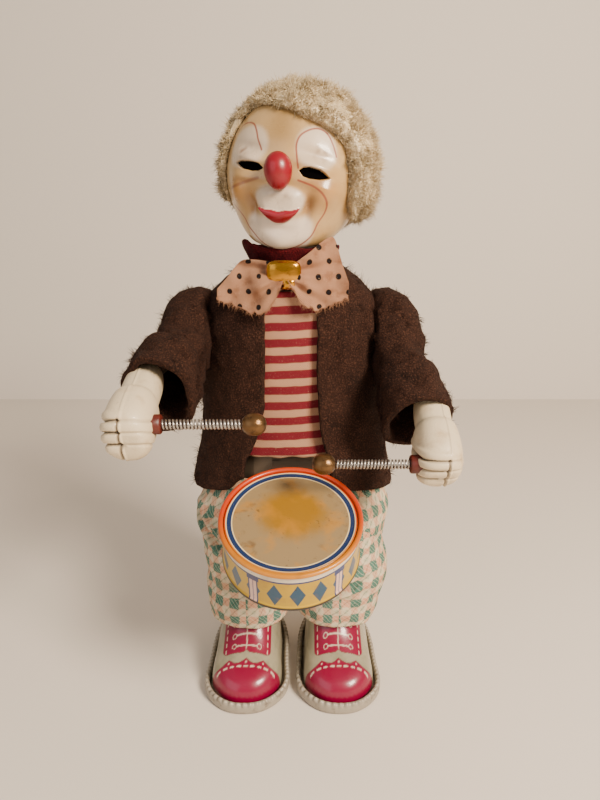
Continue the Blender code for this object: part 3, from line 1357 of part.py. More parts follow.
def make_wig(look, head):
    """The hair cap: from the crown down to the hairline outside, and back up inside."""
    around = np.linspace(-math.pi, math.pi, WIG_POINTS, endpoint=False)
    reach = np.radians(hairline(around))
    rings = []
    for share in (0.08, 0.28, 0.48, 0.68, 0.88, 1.0):
        sides = 1.0 + share * (0.5 * np.sin(around) + 0.25 * np.sin(around) ** 2)
        grow = WIG_THICKNESS * sides * (1.0 if share < 0.99 else 0.72)
        tuft = 1.0 + 0.05 * np.sin(5.0 * around + 9.0 * share)
        rings.append(skull_point(reach * share, around, grow * tuft))
    for share in (1.0, 0.84, 0.68, 0.52, 0.36, 0.2, 0.08):
        rings.append(skull_point(reach * share, around, GAP + 5.4 * FACET_ALLOWANCE))
    lofted("wig", rings, look["hair"], head)


def make_neck(look, neck):
    """The neck post with the head's seat flange and the lever at its foot."""
    post = rod(
        "neck_post", NECK_POST_RADIUS, head_lever_bottom(), HEAD_SEAT_HEIGHT + 24.0, 12, look["steel"], neck
    )
    seat = HEAD_SEAT_HEIGHT
    drop = NECK_RING_RADIUS * math.sin(math.radians(abs(HEAD_ROLL)))
    flange_top = seat - drop - GAP
    weld(post, rod("neck_flange", NECK_RING_RADIUS + 0.5, flange_top - 1.0, flange_top, 14, None, neck))
    lever_low = head_lever_bottom()
    lever_reach = head_lever_reach(lever_low - ROCKER_HEIGHT) + 2.0
    near, far = (-2.6, 0.0, lever_low + 0.3), (2.6, lever_reach, lever_low + 1.7)
    weld(post, box("neck_lever", near, far, None, neck))
    return post


def materials():
    """Every finish, by the part of the toy that it is on."""
    return {
        "tray": finish("tray_tin", (0.62, 0.55, 0.42), 0.45, 0.1),
        "shoe": finish("shoe_tin", (0.66, 0.08, 0.09), 0.3),
        "tin": finish("bare_tin", (0.55, 0.55, 0.53), 0.4, 0.8),
        "brass": finish("brass", (0.66, 0.5, 0.24), 0.35, 0.9),
        "steel": finish("steel", (0.5, 0.5, 0.5), 0.35, 0.9),
        "plaid": finish("plaid_flannel", (0.64, 0.6, 0.47), 0.95),
        "shirt": finish("striped_cotton", (0.68, 0.26, 0.22), 0.95),
        "felt": finish("brown_felt", (0.08, 0.05, 0.035), 1.0),
        "collar": finish("red_felt", (0.28, 0.03, 0.04), 1.0),
        "bow": finish("spotted_cotton", (0.66, 0.5, 0.4), 0.95),
        "gilt": finish("gilt_plate", (0.66, 0.45, 0.14), 0.25, 0.9),
        "hand": finish("cream_plastic", (0.72, 0.68, 0.58), 0.5),
        "plug": finish("brown_plug", (0.28, 0.12, 0.07), 0.6),
        "bead": finish("bead_wood", (0.35, 0.22, 0.11), 0.4),
        "drum": finish("drum_tin", (0.8, 0.5, 0.06), 0.3),
        "drum_head": finish("drum_head_tin", (0.62, 0.5, 0.3), 0.45),
        "face": finish("painted_vinyl", (0.76, 0.66, 0.5), 0.35),
        "red": finish("red_gloss", (0.7, 0.02, 0.04), 0.2),
        "hair": finish("cream_plush", (0.72, 0.6, 0.4), 1.0),
        "black": finish("black_card", (0.01, 0.01, 0.01), 0.9),
    }


def place_over_origin(whole):
    """Slide the whole toy so that its bounding box stands centred on the origin."""
    bpy.context.view_layer.update()
    graph = bpy.context.evaluated_depsgraph_get()
    corners = []
    for piece in bpy.data.objects:
        if piece.type == "EMPTY" or piece.hide_render:
            continue
        shown = piece.evaluated_get(graph)
        mesh = shown.to_mesh()
        spots = np.empty(len(mesh.vertices) * 3, dtype=np.float32)
        mesh.vertices.foreach_get("co", spots)
        world = np.array(shown.matrix_world)
        spots = spots.reshape(-1, 3) @ world[:3, :3].T + world[:3, 3]
        corners += [spots.min(axis=0), spots.max(axis=0)]
        shown.to_mesh_clear()
    low, high = np.min(corners, axis=0), np.max(corners, axis=0)
    whole.location = (-(low[0] + high[0]) / 2.0, -(low[1] + high[1]) / 2.0, 0.0)
    bpy.context.view_layer.update()


def main():
    clear_scene()
    look = materials()
    whole = empty("clown_drummer")
    torso = empty("torso_frame", whole)
    for side in (-1, 1):
        make_foot(side, look, torso)
    make_trunk(look, torso)
    make_bushes(look, torso)
    make_plates(look, torso)
    make_mainspring(look, torso)
    make_trousers(look, torso)
    make_shirt(look, torso)
    make_jacket(look, torso)
    make_neckwear(look, torso)

    drum = empty("drum_frame", torso, (0.0, -DRUM_FORWARD, DRUM_TOP_HEIGHT), drum_frame_turn())
    make_drum(look, drum)
    make_bracket(look, torso)

    frames = {
        name: empty(name + "_frame", whole, (x, 0.0, z)) for name, (x, z, _) in arbor_places().items()
    }
    make_train(look, frames)
    rocker = empty("rocker_frame", whole, (0.0, 0.0, ROCKER_HEIGHT), (0.0, rest_sway(), 0.0))
    make_rocker(look, rocker)

    for side, drop in ((-1, RIGHT_ARM_DROP), (1, LEFT_ARM_DROP)):
        tag = side_name(side)
        arm = empty("arm_frame_" + tag, whole, (0.0, 0.0, SHOULDER_HEIGHT), (drop, 0.0, 0.0))
        make_arm(side, look, arm)
        stick = empty("stick_frame_" + tag, arm, (side * spring_start(), -ARM_REACH, 0.0))
        make_stick(side, look, stick)

    neck = empty("neck_frame", whole, (0.0, 0.0, 0.0), (0.0, 0.0, lever_yaw()))
    make_neck(look, neck)
    seat = empty("seat_frame", neck, (0.0, 0.0, 0.0), (0.0, 0.0, HEAD_YAW - lever_yaw()))
    head = empty("head_frame", seat, (0.0, 0.0, HEAD_SEAT_HEIGHT), (0.0, HEAD_ROLL, 0.0))
    make_head(look, head)
    place_over_origin(whole)


main()
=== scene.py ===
"""Looks of the clown drummer: plush, felt, flannel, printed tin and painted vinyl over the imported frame.

Shapes are worked out in millimetres in the toy's own frame, whose up axis runs through the neck,
with the front towards -Y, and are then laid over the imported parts."""

import bmesh
import bpy
import numpy as np
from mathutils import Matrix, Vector


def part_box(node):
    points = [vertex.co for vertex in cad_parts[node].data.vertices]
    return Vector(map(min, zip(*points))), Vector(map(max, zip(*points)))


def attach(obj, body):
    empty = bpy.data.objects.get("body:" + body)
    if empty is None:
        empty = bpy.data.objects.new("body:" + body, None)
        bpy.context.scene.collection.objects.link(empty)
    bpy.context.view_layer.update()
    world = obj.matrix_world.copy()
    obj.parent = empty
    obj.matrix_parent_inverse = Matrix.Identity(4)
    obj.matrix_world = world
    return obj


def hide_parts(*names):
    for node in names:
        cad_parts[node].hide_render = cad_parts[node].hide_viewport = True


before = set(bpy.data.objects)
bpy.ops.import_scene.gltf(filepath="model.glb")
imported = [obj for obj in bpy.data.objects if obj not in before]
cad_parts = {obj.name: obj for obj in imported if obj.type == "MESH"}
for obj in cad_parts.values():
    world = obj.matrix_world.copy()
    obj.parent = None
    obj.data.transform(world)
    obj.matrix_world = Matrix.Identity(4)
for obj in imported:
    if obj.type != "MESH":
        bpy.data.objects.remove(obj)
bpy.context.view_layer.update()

MM = 0.001
AXIS_Y = 19.2
HEAD_YAW = 13.0
HEAD_LEAN = 3.5
HEAD_BASE = 200.5
SHOULDER_Z = 170.0
ARM_DROP = {-1: 21.5, 1: 38.5}
DRUM_CENTRE = (0.0, -60.0, 103.4)
DRUM_TILT = 22.0
SIDES = {"right": -1, "left": 1}
FULL_TURN = 2.0 * np.pi


# Measuring and placing.


def s_curve(value, low, high):
    """0 below low and 1 above high, joined by the smooth curve 3t^2 - 2t^3."""
    t = np.clip((np.asarray(value, float) - low) / (high - low), 0.0, 1.0)
    return t * t * (3.0 - 2.0 * t)


def bell(value, centre, width):
    """A rounded bump of height 1: e to the minus square of the distance from centre over width."""
    return np.exp(-(((np.asarray(value, float) - centre) / width) ** 2))


def eased(value, power):
    """The value's size raised to a power, with its sign kept."""
    return np.sign(value) * np.abs(value) ** power


def wander(points, size, seed, waves=9):
    """A smooth random hill and dale of about -1 to 1: a sum of sine waves in random directions,
    each about `size` mm from crest to crest."""
    rng = np.random.default_rng(seed)
    ways = rng.normal(size=(waves, 3))
    ways /= np.linalg.norm(ways, axis=1)[:, None]
    pitch = FULL_TURN / (size * rng.uniform(0.6, 1.7, waves))
    return np.sin(points @ (ways * pitch[:, None]).T + rng.uniform(0, FULL_TURN, waves)).sum(-1) / waves**0.5


def turn(points, axis, degrees):
    """Points turned about the X, Y or Z axis through the origin."""
    first, second = {"X": (1, 2), "Y": (2, 0), "Z": (0, 1)}[axis]
    cosine, sine = np.cos(np.radians(degrees)), np.sin(np.radians(degrees))
    out = np.array(points, float)
    a, b = out[..., first].copy(), out[..., second].copy()
    out[..., first], out[..., second] = a * cosine - b * sine, a * sine + b * cosine
    return out


def on_toy(points):
    """The toy's own frame, left as it is."""
    return np.array(points, float)


def on_head(points):
    """From the head's frame: leaned over, lifted onto the neck, then turned aside."""
    return turn(turn(points, "Y", HEAD_LEAN) + (0, 0, HEAD_BASE), "Z", -HEAD_YAW)


def on_drum(points):
    """From the drum's frame: tipped towards the front and moved to its strap."""
    return turn(points, "X", DRUM_TILT) + DRUM_CENTRE


def on_arm(side):
    """From an arm's frame, where -Y runs along the arm: turned down about the shoulder."""

    def place(points):
        return turn(points, "X", ARM_DROP[side]) + (0, 0, SHOULDER_Z)

    return place


def arm_grid(side, out, forward, rise):
    """Arm coordinates (out to the side, forward along the arm, rise) as one array."""
    return np.stack(np.broadcast_arrays(side * np.asarray(out, float), -np.asarray(forward, float), rise), -1)


def oval(angle, half_width, half_depth, power=2.0):
    """Superellipse |x/a|^n + |y/b|^n = 1, with angle 0 at the front (-Y) and growing towards +X."""
    return (
        half_width * eased(np.sin(angle), 2.0 / power),
        -half_depth * eased(np.cos(angle), 2.0 / power),
    )


def even_steps(line, count, closed=False):
    """The line's points spaced evenly along its length."""
    line = np.asarray(line, float)
    if closed:
        line = np.vstack([line, line[:1]])
    length = np.r_[0, np.cumsum(np.linalg.norm(np.diff(line, axis=0), axis=1))]
    at = np.linspace(0, length[-1], count, endpoint=not closed)
    return np.stack([np.interp(at, length, line[:, k]) for k in range(line.shape[1])], -1)


def flowing(line, count):
    """A smooth curve through the given points (Catmull-Rom), spaced evenly."""
    line = np.asarray(line, float)
    ends = np.vstack([2 * line[0] - line[1], line, 2 * line[-1] - line[-2]])
    t = np.linspace(0, 1, 24, endpoint=False)[:, None]
    parts = []
    for k in range(len(line) - 1):
        a, b, c, d = ends[k : k + 4]
        parts.append(0.5 * (2 * b + (c - a) * t + (2 * a - 5 * b + 4 * c - d) * t**2
                            + (3 * b - a - 3 * c + d) * t**3))
    return even_steps(np.vstack([*parts, line[-1:]]), count)


# Meshes.


def mesh_of(name, vertices, faces, body, slot_name, place=on_toy, cloth=None, paint=None, closed=True):
    """One piece from points in its own frame: place() carries them onto the toy, and the own-frame
    points stay in the attribute "local" for patterns. Faces are rows of corners, a triangle's last is
    -1. slot_name is also the finish's key in `look`."""
    vertices = np.asarray(vertices, float).reshape(-1, 3)
    world = place(vertices) * MM
    world[:, 1] += AXIS_Y * MM
    counts = np.where(faces[:, -1] < 0, 3, 4)
    corners = faces.reshape(-1)
    keep = corners >= 0
    mesh = bpy.data.meshes.new(name)
    mesh.vertices.add(len(world))
    mesh.vertices.foreach_set("co", world.astype(np.float32).ravel())
    mesh.loops.add(int(keep.sum()))
    mesh.loops.foreach_set("vertex_index", corners[keep].astype(np.int32))
    mesh.polygons.add(len(faces))
    mesh.polygons.foreach_set("loop_start", np.r_[0, np.cumsum(counts)[:-1]].astype(np.int32))
    mesh.update(calc_edges=True)
    mesh.validate()
    if cloth is not None:
        layer = mesh.uv_layers.new(name="cloth")
        layer.data.foreach_set("uv", cloth.reshape(-1, 2)[keep].astype(np.float32).ravel())
    local = mesh.attributes.new("local", "FLOAT_VECTOR", "POINT")
    local.data.foreach_set("vector", vertices.astype(np.float32).ravel())
    for label, colours in (paint or {}).items():
        layer = mesh.attributes.new(label, "FLOAT_COLOR", "POINT")
        layer.data.foreach_set("color", np.asarray(colours, np.float32).ravel())
    if closed:
        work = bmesh.new()
        work.from_mesh(mesh)
        bmesh.ops.recalc_face_normals(work, faces=work.faces)
        work.to_mesh(mesh)
        work.free()
    mesh.polygons.foreach_set("use_smooth", np.full(len(mesh.polygons), True))
    mesh.materials.append(look[slot_name])
    piece = bpy.data.objects.new(name, mesh)
    bpy.context.scene.collection.objects.link(piece)
    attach(piece, body)
    return piece


def skin(name, grid, body, slot_name, wrap=True, ends=(True, True), cloth=None, paint=None, **how):
    """A surface through a grid of points: rows run along, columns run round (joined up when wrap).
    An end that is closed gets a fan to its ring's centre. cloth = (along, round) mm for the pattern."""
    rows, columns = grid.shape[:2]
    index = np.arange(rows * columns).reshape(rows, columns)
    spans = columns if wrap else columns - 1
    here = np.arange(spans)
    beyond = (here + 1) % columns
    corners = [index[:-1][:, here], index[:-1][:, beyond], index[1:][:, beyond], index[1:][:, here]]
    quads = np.stack(corners, -1).reshape(-1, 4)
    vertices = grid.reshape(-1, 3)
    faces = [quads]
    maps = None
    if cloth is not None:
        along, across = cloth
        across = np.broadcast_to(across, (rows, spans + 1 if wrap else columns))
        along = np.broadcast_to(np.reshape(along, (rows, -1)), across.shape)
        flat = np.stack([across, along], -1)
        corners = [flat[:-1, :-1], flat[:-1, 1:], flat[1:, 1:], flat[1:, :-1]]
        maps = [np.stack(corners, 2).reshape(-1, 4, 2)]
    middles = []
    for closed_end, row in zip(ends, (0, rows - 1)):
        if not (wrap and closed_end):
            continue
        middle = len(vertices)
        vertices = np.vstack([vertices, grid[row].mean(0)[None]])
        ring = index[row]
        pair = (ring[here], ring[beyond]) if row == 0 else (ring[beyond], ring[here])
        faces.append(np.stack([pair[1], pair[0], np.full(spans, middle), np.full(spans, -1)], -1))
        if maps is not None:
            maps.append(np.repeat(flat[row, :spans][:, None], 4, 1))
        middles.append(row)
    if paint:
        paint = {label: np.vstack([colours.reshape(-1, 4),
                                   *(colours[row].mean(0)[None] for row in middles)])
                 for label, colours in paint.items()}
    return mesh_of(name, vertices, np.vstack(faces), body, slot_name,
                   cloth=None if maps is None else np.vstack(maps), paint=paint,
                   closed=how.pop("closed", wrap and all(ends)), **how)


def thicken(piece, thickness):
    """Gives an open sheet its wall, inwards."""
    wall = piece.modifiers.new("wall", "SOLIDIFY")
    wall.thickness = thickness * MM
    wall.offset = -1.0
    wall.use_even_offset = False


def fibres(name, roots, ways, bends, lengths, width, body, slot_name, rows=4, place=on_toy):
    """Hairs as tapering three-sided tubes: the centre line is root + way * L t + bend * L t^2, and the
    radius falls from `width` to a fifth of it at the tip, which is closed, as is the root."""
    count = len(roots)
    t = np.linspace(0, 1, rows)[:, None, None]
    reach = lengths[:, None]
    centre = roots + ways * reach * t + bends * reach * t**2
    run = ways + 2 * bends * t
    run /= np.linalg.norm(run, axis=-1, keepdims=True)
    aside = np.cross(run, np.array([0.31, 0.52, 0.79]))
    aside /= np.linalg.norm(aside, axis=-1, keepdims=True)
    other = np.cross(run, aside)
    thick = width * (1.0 - 0.8 * t[..., 0] ** 1.5)
    angles = np.arange(3) * FULL_TURN / 3
    tube = (centre[:, :, None]
            + (aside[:, :, None] * np.cos(angles)[:, None] + other[:, :, None] * np.sin(angles)[:, None])
            * thick[..., None, None])
    vertices = tube.transpose(1, 0, 2, 3).reshape(-1, 3)
    index = np.arange(count * rows * 3).reshape(count, rows, 3)
    nxt = np.roll(index, -1, axis=2)
    quads = np.stack([index[:, :-1], nxt[:, :-1], nxt[:, 1:], index[:, 1:]], -1).reshape(-1, 4)
    none = np.full(count, -1)
    tips = np.stack([*index[:, -1].T, none], -1)
    feet = np.stack([*index[:, 0, ::-1].T, none], -1)
    return mesh_of(name, vertices, np.vstack([quads, tips, feet]), body, slot_name, place=place, closed=False)


def scatter(grid, count, seed):
    """Random points spread evenly over a grid's surface, with its direction there."""
    rng = np.random.default_rng(seed)
    a, b, c, d = (grid[i : len(grid) - 1 + i, j : grid.shape[1] - 1 + j].reshape(-1, 3)
                  for i, j in ((0, 0), (1, 0), (0, 1), (1, 1)))
    normal = np.cross(b - a, c - a)
    share = np.linalg.norm(normal, axis=-1)
    cell = rng.choice(len(a), count, p=share / share.sum())
    u, v = rng.uniform(0, 1, (2, count, 1))
    a, b, c, d = a[cell], b[cell], c[cell], d[cell]
    points = a * (1 - u) * (1 - v) + b * u * (1 - v) + c * (1 - u) * v + d * u * v
    return points, normal[cell] / (share[cell, None] + 1e-9)


def nap(points, size, seed):
    """A smooth random direction at each point, which turns over about `size` mm."""
    return np.stack([wander(points, size, seed + k) for k in range(3)], -1)


def pile(name, surface, middle, count, seed, lengths, width, lie, body, slot_name, place):
    """Short pile on a surface: each fibre leans the way the nap flows there, and curls a little."""
    rng = np.random.default_rng(seed)
    points, out = scatter(surface, count, seed)
    out = np.where(((points - middle) * out).sum(-1, keepdims=True) < 0, -out, out)
    ways = out + lie * nap(points, 9.0, 81) + 0.35 * rng.normal(size=(count, 3))
    ways /= np.linalg.norm(ways, axis=1)[:, None]
    bends = 0.35 * lie * nap(points, 6.0, 91) + 0.3 * rng.normal(size=(count, 3))
    reach = rng.uniform(*lengths, count)
    return fibres(name, points - out * 0.4, ways, bends, reach, width, body, slot_name, rows=3, place=place)


# Finishes.


def tint(red, green, blue):
    """A colour given in the usual 0 to 255 steps, as the shader's linear light."""
    c = np.array([red, green, blue]) / 255.0
    return tuple(np.where(c <= 0.04045, c / 12.92, ((c + 0.055) / 1.055) ** 2.4))


class Shade:
    """A number at every point of a surface, so that a finish reads as a sum."""

    def __init__(self, socket):
        self.socket = socket

    def join(self, operation, *others):
        node = self.socket.id_data.nodes.new("ShaderNodeMath")
        node.operation = operation
        for plug, other in zip(node.inputs, (self, *others)):
            if isinstance(other, Shade):
                node.id_data.links.new(other.socket, plug)
            else:
                plug.default_value = other
        return Shade(node.outputs[0])

    def __add__(self, other):
        return self.join("ADD", other)

    def __sub__(self, other):
        return self.join("SUBTRACT", other)

    def __mul__(self, other):
        return self.join("MULTIPLY", other)

    def __truediv__(self, other):
        return self.join("DIVIDE", other)

    def __pow__(self, other):
        return self.join("POWER", other)

    def size(self):
        return self.join("ABSOLUTE")

    def wave(self):
        return self.join("SINE")

    def repeat(self, pitch):
        """Distance from the nearest multiple of the pitch."""
        return self.join("PINGPONG", pitch / 2.0)

    def under(self, edge):
        return self.join("LESS_THAN", edge)

    def least(self, other):
        return self.join("MINIMUM", other)

    def fade(self, low, high):
        """0 at low to 1 at high, eased; low may be the larger."""
        node = self.socket.id_data.nodes.new("ShaderNodeMapRange")
        node.interpolation_type = "SMOOTHSTEP"
        node.id_data.links.new(self.socket, node.inputs[0])
        node.inputs[1].default_value, node.inputs[2].default_value = low, high
        return Shade(node.outputs[0])


class Finish:
    """A paint, cloth or metal: a base colour with washes laid over it in order."""

    def __init__(self, name, colour, roughness, **shader):
        self.material = bpy.data.materials.new(name)
        self.material.use_nodes = True
        self.tree = self.material.node_tree
        self.shader = next(n for n in self.tree.nodes if n.type == "BSDF_PRINCIPLED")
        self.colour = self.shader.inputs["Base Color"]
        self.colour.default_value = (*colour, 1)
        self.top = None
        self.base = colour
        self.shader.inputs["Roughness"].default_value = roughness
        for label, value in shader.items():
            self.shader.inputs[label.replace("_", " ").title().replace("Ior", "IOR")].default_value = value

    def node(self, kind, **settings):
        made = self.tree.nodes.new(kind)
        for label, value in settings.items():
            setattr(made, label, value)
        return made

    def split(self, where):
        """Keeps a place for the noises to come and gives its parts."""
        self.where = where
        parts = self.node("ShaderNodeSeparateXYZ")
        self.tree.links.new(where, parts.inputs[0])
        return [Shade(s) for s in parts.outputs]

    def local(self):
        """The piece's own-frame position in mm: x, y, z."""
        return self.split(self.node("ShaderNodeAttribute", attribute_name="local").outputs["Vector"])

    def cloth(self):
        """Where on the flat cloth, in mm: across and along."""
        return self.split(self.node("ShaderNodeUVMap", uv_map="cloth").outputs[0])[:2]

    def noise(self, size, detail=3.0):
        """Cloudy noise, 0 to 1, with clouds of about `size` mm."""
        lay = self.node("ShaderNodeMapping")
        lay.inputs["Scale"].default_value = [1 / size] * 3
        self.tree.links.new(self.where, lay.inputs[0])
        made = self.node("ShaderNodeTexNoise")
        made.inputs["Scale"].default_value = 1.0
        made.inputs["Detail"].default_value = detail
        made.inputs["Roughness"].default_value = 0.55
        self.tree.links.new(lay.outputs[0], made.inputs["Vector"])
        return Shade(made.outputs[0])

    def lay(self, share):
        """Mixes a new colour over what is there by a share socket, and gives the new colour's input."""
        mix = self.node("ShaderNodeMix", data_type="RGBA")
        below, above = (s for s in mix.inputs if s.type == "RGBA")
        if self.top is None:
            below.default_value = (*self.base, 1)
        else:
            self.tree.links.new(self.top, below)
        self.tree.links.new(share, next(s for s in mix.inputs if s.type == "VALUE"))
        self.top = next(s for s in mix.outputs if s.type == "RGBA")
        self.tree.links.new(self.top, self.colour)
        return above

    def wash(self, colour, share):
        """Lays a colour over what is there; share is 0 to 1 at each point."""
        self.lay(share.socket).default_value = (*colour, 1)

    def paint(self, label):
        """Lays the piece's own painted attribute over the base; its alpha is the share."""
        made = self.node("ShaderNodeAttribute", attribute_name=label)
        self.tree.links.new(made.outputs["Color"], self.lay(made.outputs["Alpha"]))

    def dull(self, roughness):
        """Roughness from a shade."""
        self.tree.links.new(roughness.socket, self.shader.inputs["Roughness"])

    def relief(self, height, depth):
        """Bumps as if the surface rose by height (0 to 1) times depth mm."""
        made = self.node("ShaderNodeBump")
        made.inputs["Strength"].default_value = 1.0
        made.inputs["Distance"].default_value = depth * MM
        self.tree.links.new(height.socket, made.inputs["Height"])
        self.tree.links.new(made.outputs[0], self.shader.inputs["Normal"])
        return self.material


def felt(name, colour, dark, light):
    """Matted wool: cloudy colour with fine fibre speckle."""
    made = Finish(name, colour, 0.95, specular_ior_level=0.15)
    made.local()
    clouds, fine = made.noise(9.0, 4), made.noise(0.6, 3)
    made.wash(dark, clouds.fade(0.5, 0.75) * 0.6)
    made.wash(light, fine.fade(0.5, 0.7) * 0.7)
    made.wash(dark, fine.fade(0.48, 0.3) * 0.7)
    return made.relief(fine + clouds * 0.6, 0.8)


def plush():
    """Sandy cream pile with bright flecks painted as highlights on the tips, and darker, browner
    flecks painted as shade between the tufts.
    """
    made = Finish("cream_plush", tint(184, 162, 124), 0.3, sheen_weight=0.1, sheen_roughness=0.3)
    made.local()
    made.wash(tint(136, 118, 82), made.noise(9.0, 3).fade(0.5, 0.75) * 0.7)
    # pale flecks: painted highlight on the pile
    made.wash(tint(240, 222, 188), made.noise(1.1, 3).fade(0.5, 0.34) * 0.7)
    # darker, browner flecks: painted shade between the tufts
    made.wash(tint(104, 78, 48), made.noise(0.9, 2).fade(0.56, 0.7) * 0.6)
    return made.relief(made.noise(1.2, 3), 0.3)


def vinyl():
    """Ivory tan moulded face with painted patches and lines, painted shade in the eye slots, dimples
    and folds, and a little soft grime.
    """
    made = Finish("painted_vinyl", tint(186, 152, 102), 0.3, coat_weight=0.3, coat_roughness=0.12)
    made.local()
    made.wash(tint(164, 122, 70), made.noise(14.0, 3).fade(0.5, 0.75) * 0.5)
    made.paint("face")
    made.wash(tint(104, 76, 50), made.noise(4.0, 5).fade(0.6, 0.8) * 0.22)
    made.dull(made.noise(6.0, 3) * 0.25 + 0.18)
    return made.relief(made.noise(1.6, 3), 0.06)


def gloss_red():
    """Glossy red lacquer with a few chips."""
    made = Finish("red_gloss", tint(130, 0, 24), 0.36, coat_weight=0.12, coat_roughness=0.08)
    made.local()
    made.wash(tint(112, 8, 8), made.noise(4.0, 3).fade(0.45, 0.75) * 0.5)
    made.wash(tint(24, 14, 12), made.noise(1.1, 4).fade(0.76, 0.79))
    return made.relief(made.noise(3.0, 2), 0.04)


def cream_plastic():
    """Cream moulded hand, with grime and painted shade in its creases."""
    made = Finish("cream_plastic", tint(212, 194, 162), 0.45, coat_weight=0.1)
    made.local()
    made.wash(tint(164, 130, 90), made.noise(8.0, 4).fade(0.5, 0.8) * 0.6)
    made.paint("face")
    made.wash(tint(120, 92, 62), made.noise(1.3, 4).fade(0.66, 0.78) * 0.35)
    return made.relief(made.noise(0.8, 3), 0.12)


def flannel():
    """Cream flannel with a teal and salmon check woven in, and thin dark slanting lines."""
    made = Finish("plaid_flannel", tint(200, 184, 154), 0.95, specular_ior_level=0.2)
    across, along = made.cloth()
    a, b = across + made.noise(9.0, 2) * 3.0, along + made.noise(8.0, 2) * 3.0
    frayed = made.noise(0.8, 3) * 1.6 - 0.8
    wide, tall = a.repeat(8.8) + frayed, b.repeat(8.8) + frayed
    far_wide, far_tall = (a + 4.4).repeat(8.8) + frayed, (b + 4.4).repeat(8.8) + frayed
    made.wash(tint(196, 122, 92), far_wide.fade(2.3, 1.5) * tall.fade(2.4, 1.6) * 0.65)
    made.wash(tint(196, 122, 92), wide.fade(2.3, 1.5) * far_tall.fade(2.4, 1.6) * 0.5)
    made.wash(tint(22, 98, 88), wide.fade(2.8, 2.2) * tall.fade(2.9, 2.3) * 0.9)
    made.wash(tint(72, 130, 112), far_wide.fade(1.2, 0.4) * far_tall.fade(1.4, 0.4) * 0.4)
    made.wash(tint(70, 62, 48), (a - b).repeat(4.4).fade(0.5, 0.15) * 0.4)
    made.wash(tint(216, 206, 180), (a + b).repeat(2.2).fade(0.35, 0.1) * 0.3)
    fuzz = made.noise(0.7, 3)
    made.wash(tint(218, 206, 180), fuzz.fade(0.55, 0.75) * 0.4)
    made.wash(tint(134, 110, 78), made.noise(16.0, 3).fade(0.52, 0.8) * 0.4)
    return made.relief(fuzz, 0.3)


def striped_cotton():
    """Cream cotton with broad red stripes and its weave."""
    made = Finish("striped_cotton", tint(190, 146, 116), 0.95, specular_ior_level=0.2)
    across, along = made.cloth()
    drift = made.noise(5.0, 2) * 0.7
    stripe = (along + drift - across * 0.05).repeat(6.7).fade(1.35, 1.85)
    made.wash(tint(116, 0, 34), stripe * 0.95)
    thread = (across * 8.4).wave() * (along * 8.4).wave()
    made.wash(tint(84, 18, 20), thread.fade(0.2, 0.9) * 0.35)
    made.wash(tint(214, 186, 154), made.noise(0.6, 3).fade(0.6, 0.78) * 0.4)
    return made.relief(thread * 0.5 + made.noise(0.5, 3), 0.3)


def spotted_cotton():
    """Pinkish beige cotton with black spots in offset rows."""
    made = Finish("spotted_cotton", tint(164, 120, 92), 0.95, specular_ior_level=0.2)
    across, along = made.cloth()
    a, b = across + made.noise(8.0, 2) * 2.0, along + made.noise(6.0, 2) * 2.0
    first = (a.repeat(8.0) ** 2.0 + b.repeat(11.6) ** 2.0) ** 0.5
    second = ((a + 4.0).repeat(8.0) ** 2.0 + (b + 5.8).repeat(11.6) ** 2.0) ** 0.5
    made.wash(tint(124, 80, 56), made.noise(6.0, 3).fade(0.46, 0.72) * 0.7)
    made.wash(tint(20, 14, 16), first.least(second).fade(1.25, 0.95))
    thread = (across * 9.0).wave() * (along * 9.0).wave()
    made.wash(tint(212, 176, 140), made.noise(0.6, 3).fade(0.58, 0.75) * 0.4)
    return made.relief(thread * 0.5 + made.noise(0.5, 3), 0.25)


def gilt():
    """Polished brass-coloured plate."""
    made = Finish("gilt", tint(196, 140, 48), 0.22, metallic=1.0)
    made.local()
    made.wash(tint(96, 62, 24), made.noise(2.5, 4).fade(0.58, 0.8) * 0.7)
    return made.relief(made.noise(3.0, 2), 0.08)


def plain(name, colour, roughness, metallic=0.0, grime=None, speck=3.0, depth=0.1, **shader):
    """A plain finish with cloudy grime."""
    made = Finish(name, colour, roughness, metallic=metallic, **shader)
    made.local()
    if grime is not None:
        made.wash(grime, made.noise(speck, 4).fade(0.5, 0.78) * 0.7)
    return made.relief(made.noise(speck * 0.4, 3), depth)


def drum_print():
    """Printed tin wall: white band, blue line, yellow field with teal diamonds between blue-edged struts,
    and an orange rim; `along` is the height below the rim."""
    made = Finish("drum_tin", tint(186, 148, 0), 0.34, coat_weight=0.2, coat_roughness=0.1)
    across, along = made.cloth()
    middle = across - 2.7
    diamond = middle.repeat(8.357) / 3.0 + (along + 11.8).size() / 6.1
    made.wash(tint(0, 62, 92), diamond.fade(1.03, 0.95))
    strut = (middle - 16.71).repeat(33.426)
    low = along.under(-3.6)
    made.wash(tint(30, 48, 98), strut.fade(2.1, 1.95) * low)
    made.wash(tint(214, 176, 160), strut.fade(1.5, 1.35) * low)
    made.wash(tint(130, 110, 130), strut.fade(0.3, 0.15) * low)
    made.wash(tint(214, 202, 180), (along + 2.9).size().fade(1.6, 1.45))
    made.wash(tint(26, 44, 98), (along + 4.5).size().fade(0.5, 0.35))
    made.wash(tint(26, 44, 98), (along + 5.9).size().fade(1.2, 1.05) * strut.fade(2.6, 2.45))
    made.wash(tint(184, 52, 0), along.fade(-1.6, -1.2))
    _, front, _ = made.local()
    made.wash(tint(190, 118, 0), along.fade(-1.6, -1.2) * front.fade(4.0, -24.0))
    made.wash(tint(34, 26, 20), along.fade(-18.1, -18.7))
    made.wash(tint(30, 20, 14), made.noise(1.8, 5).fade(0.69, 0.74) * 0.85)
    made.wash(tint(132, 84, 30), made.noise(7.0, 3).fade(0.5, 0.8) * 0.4)
    return made.relief(made.noise(3.0, 2), 0.05)


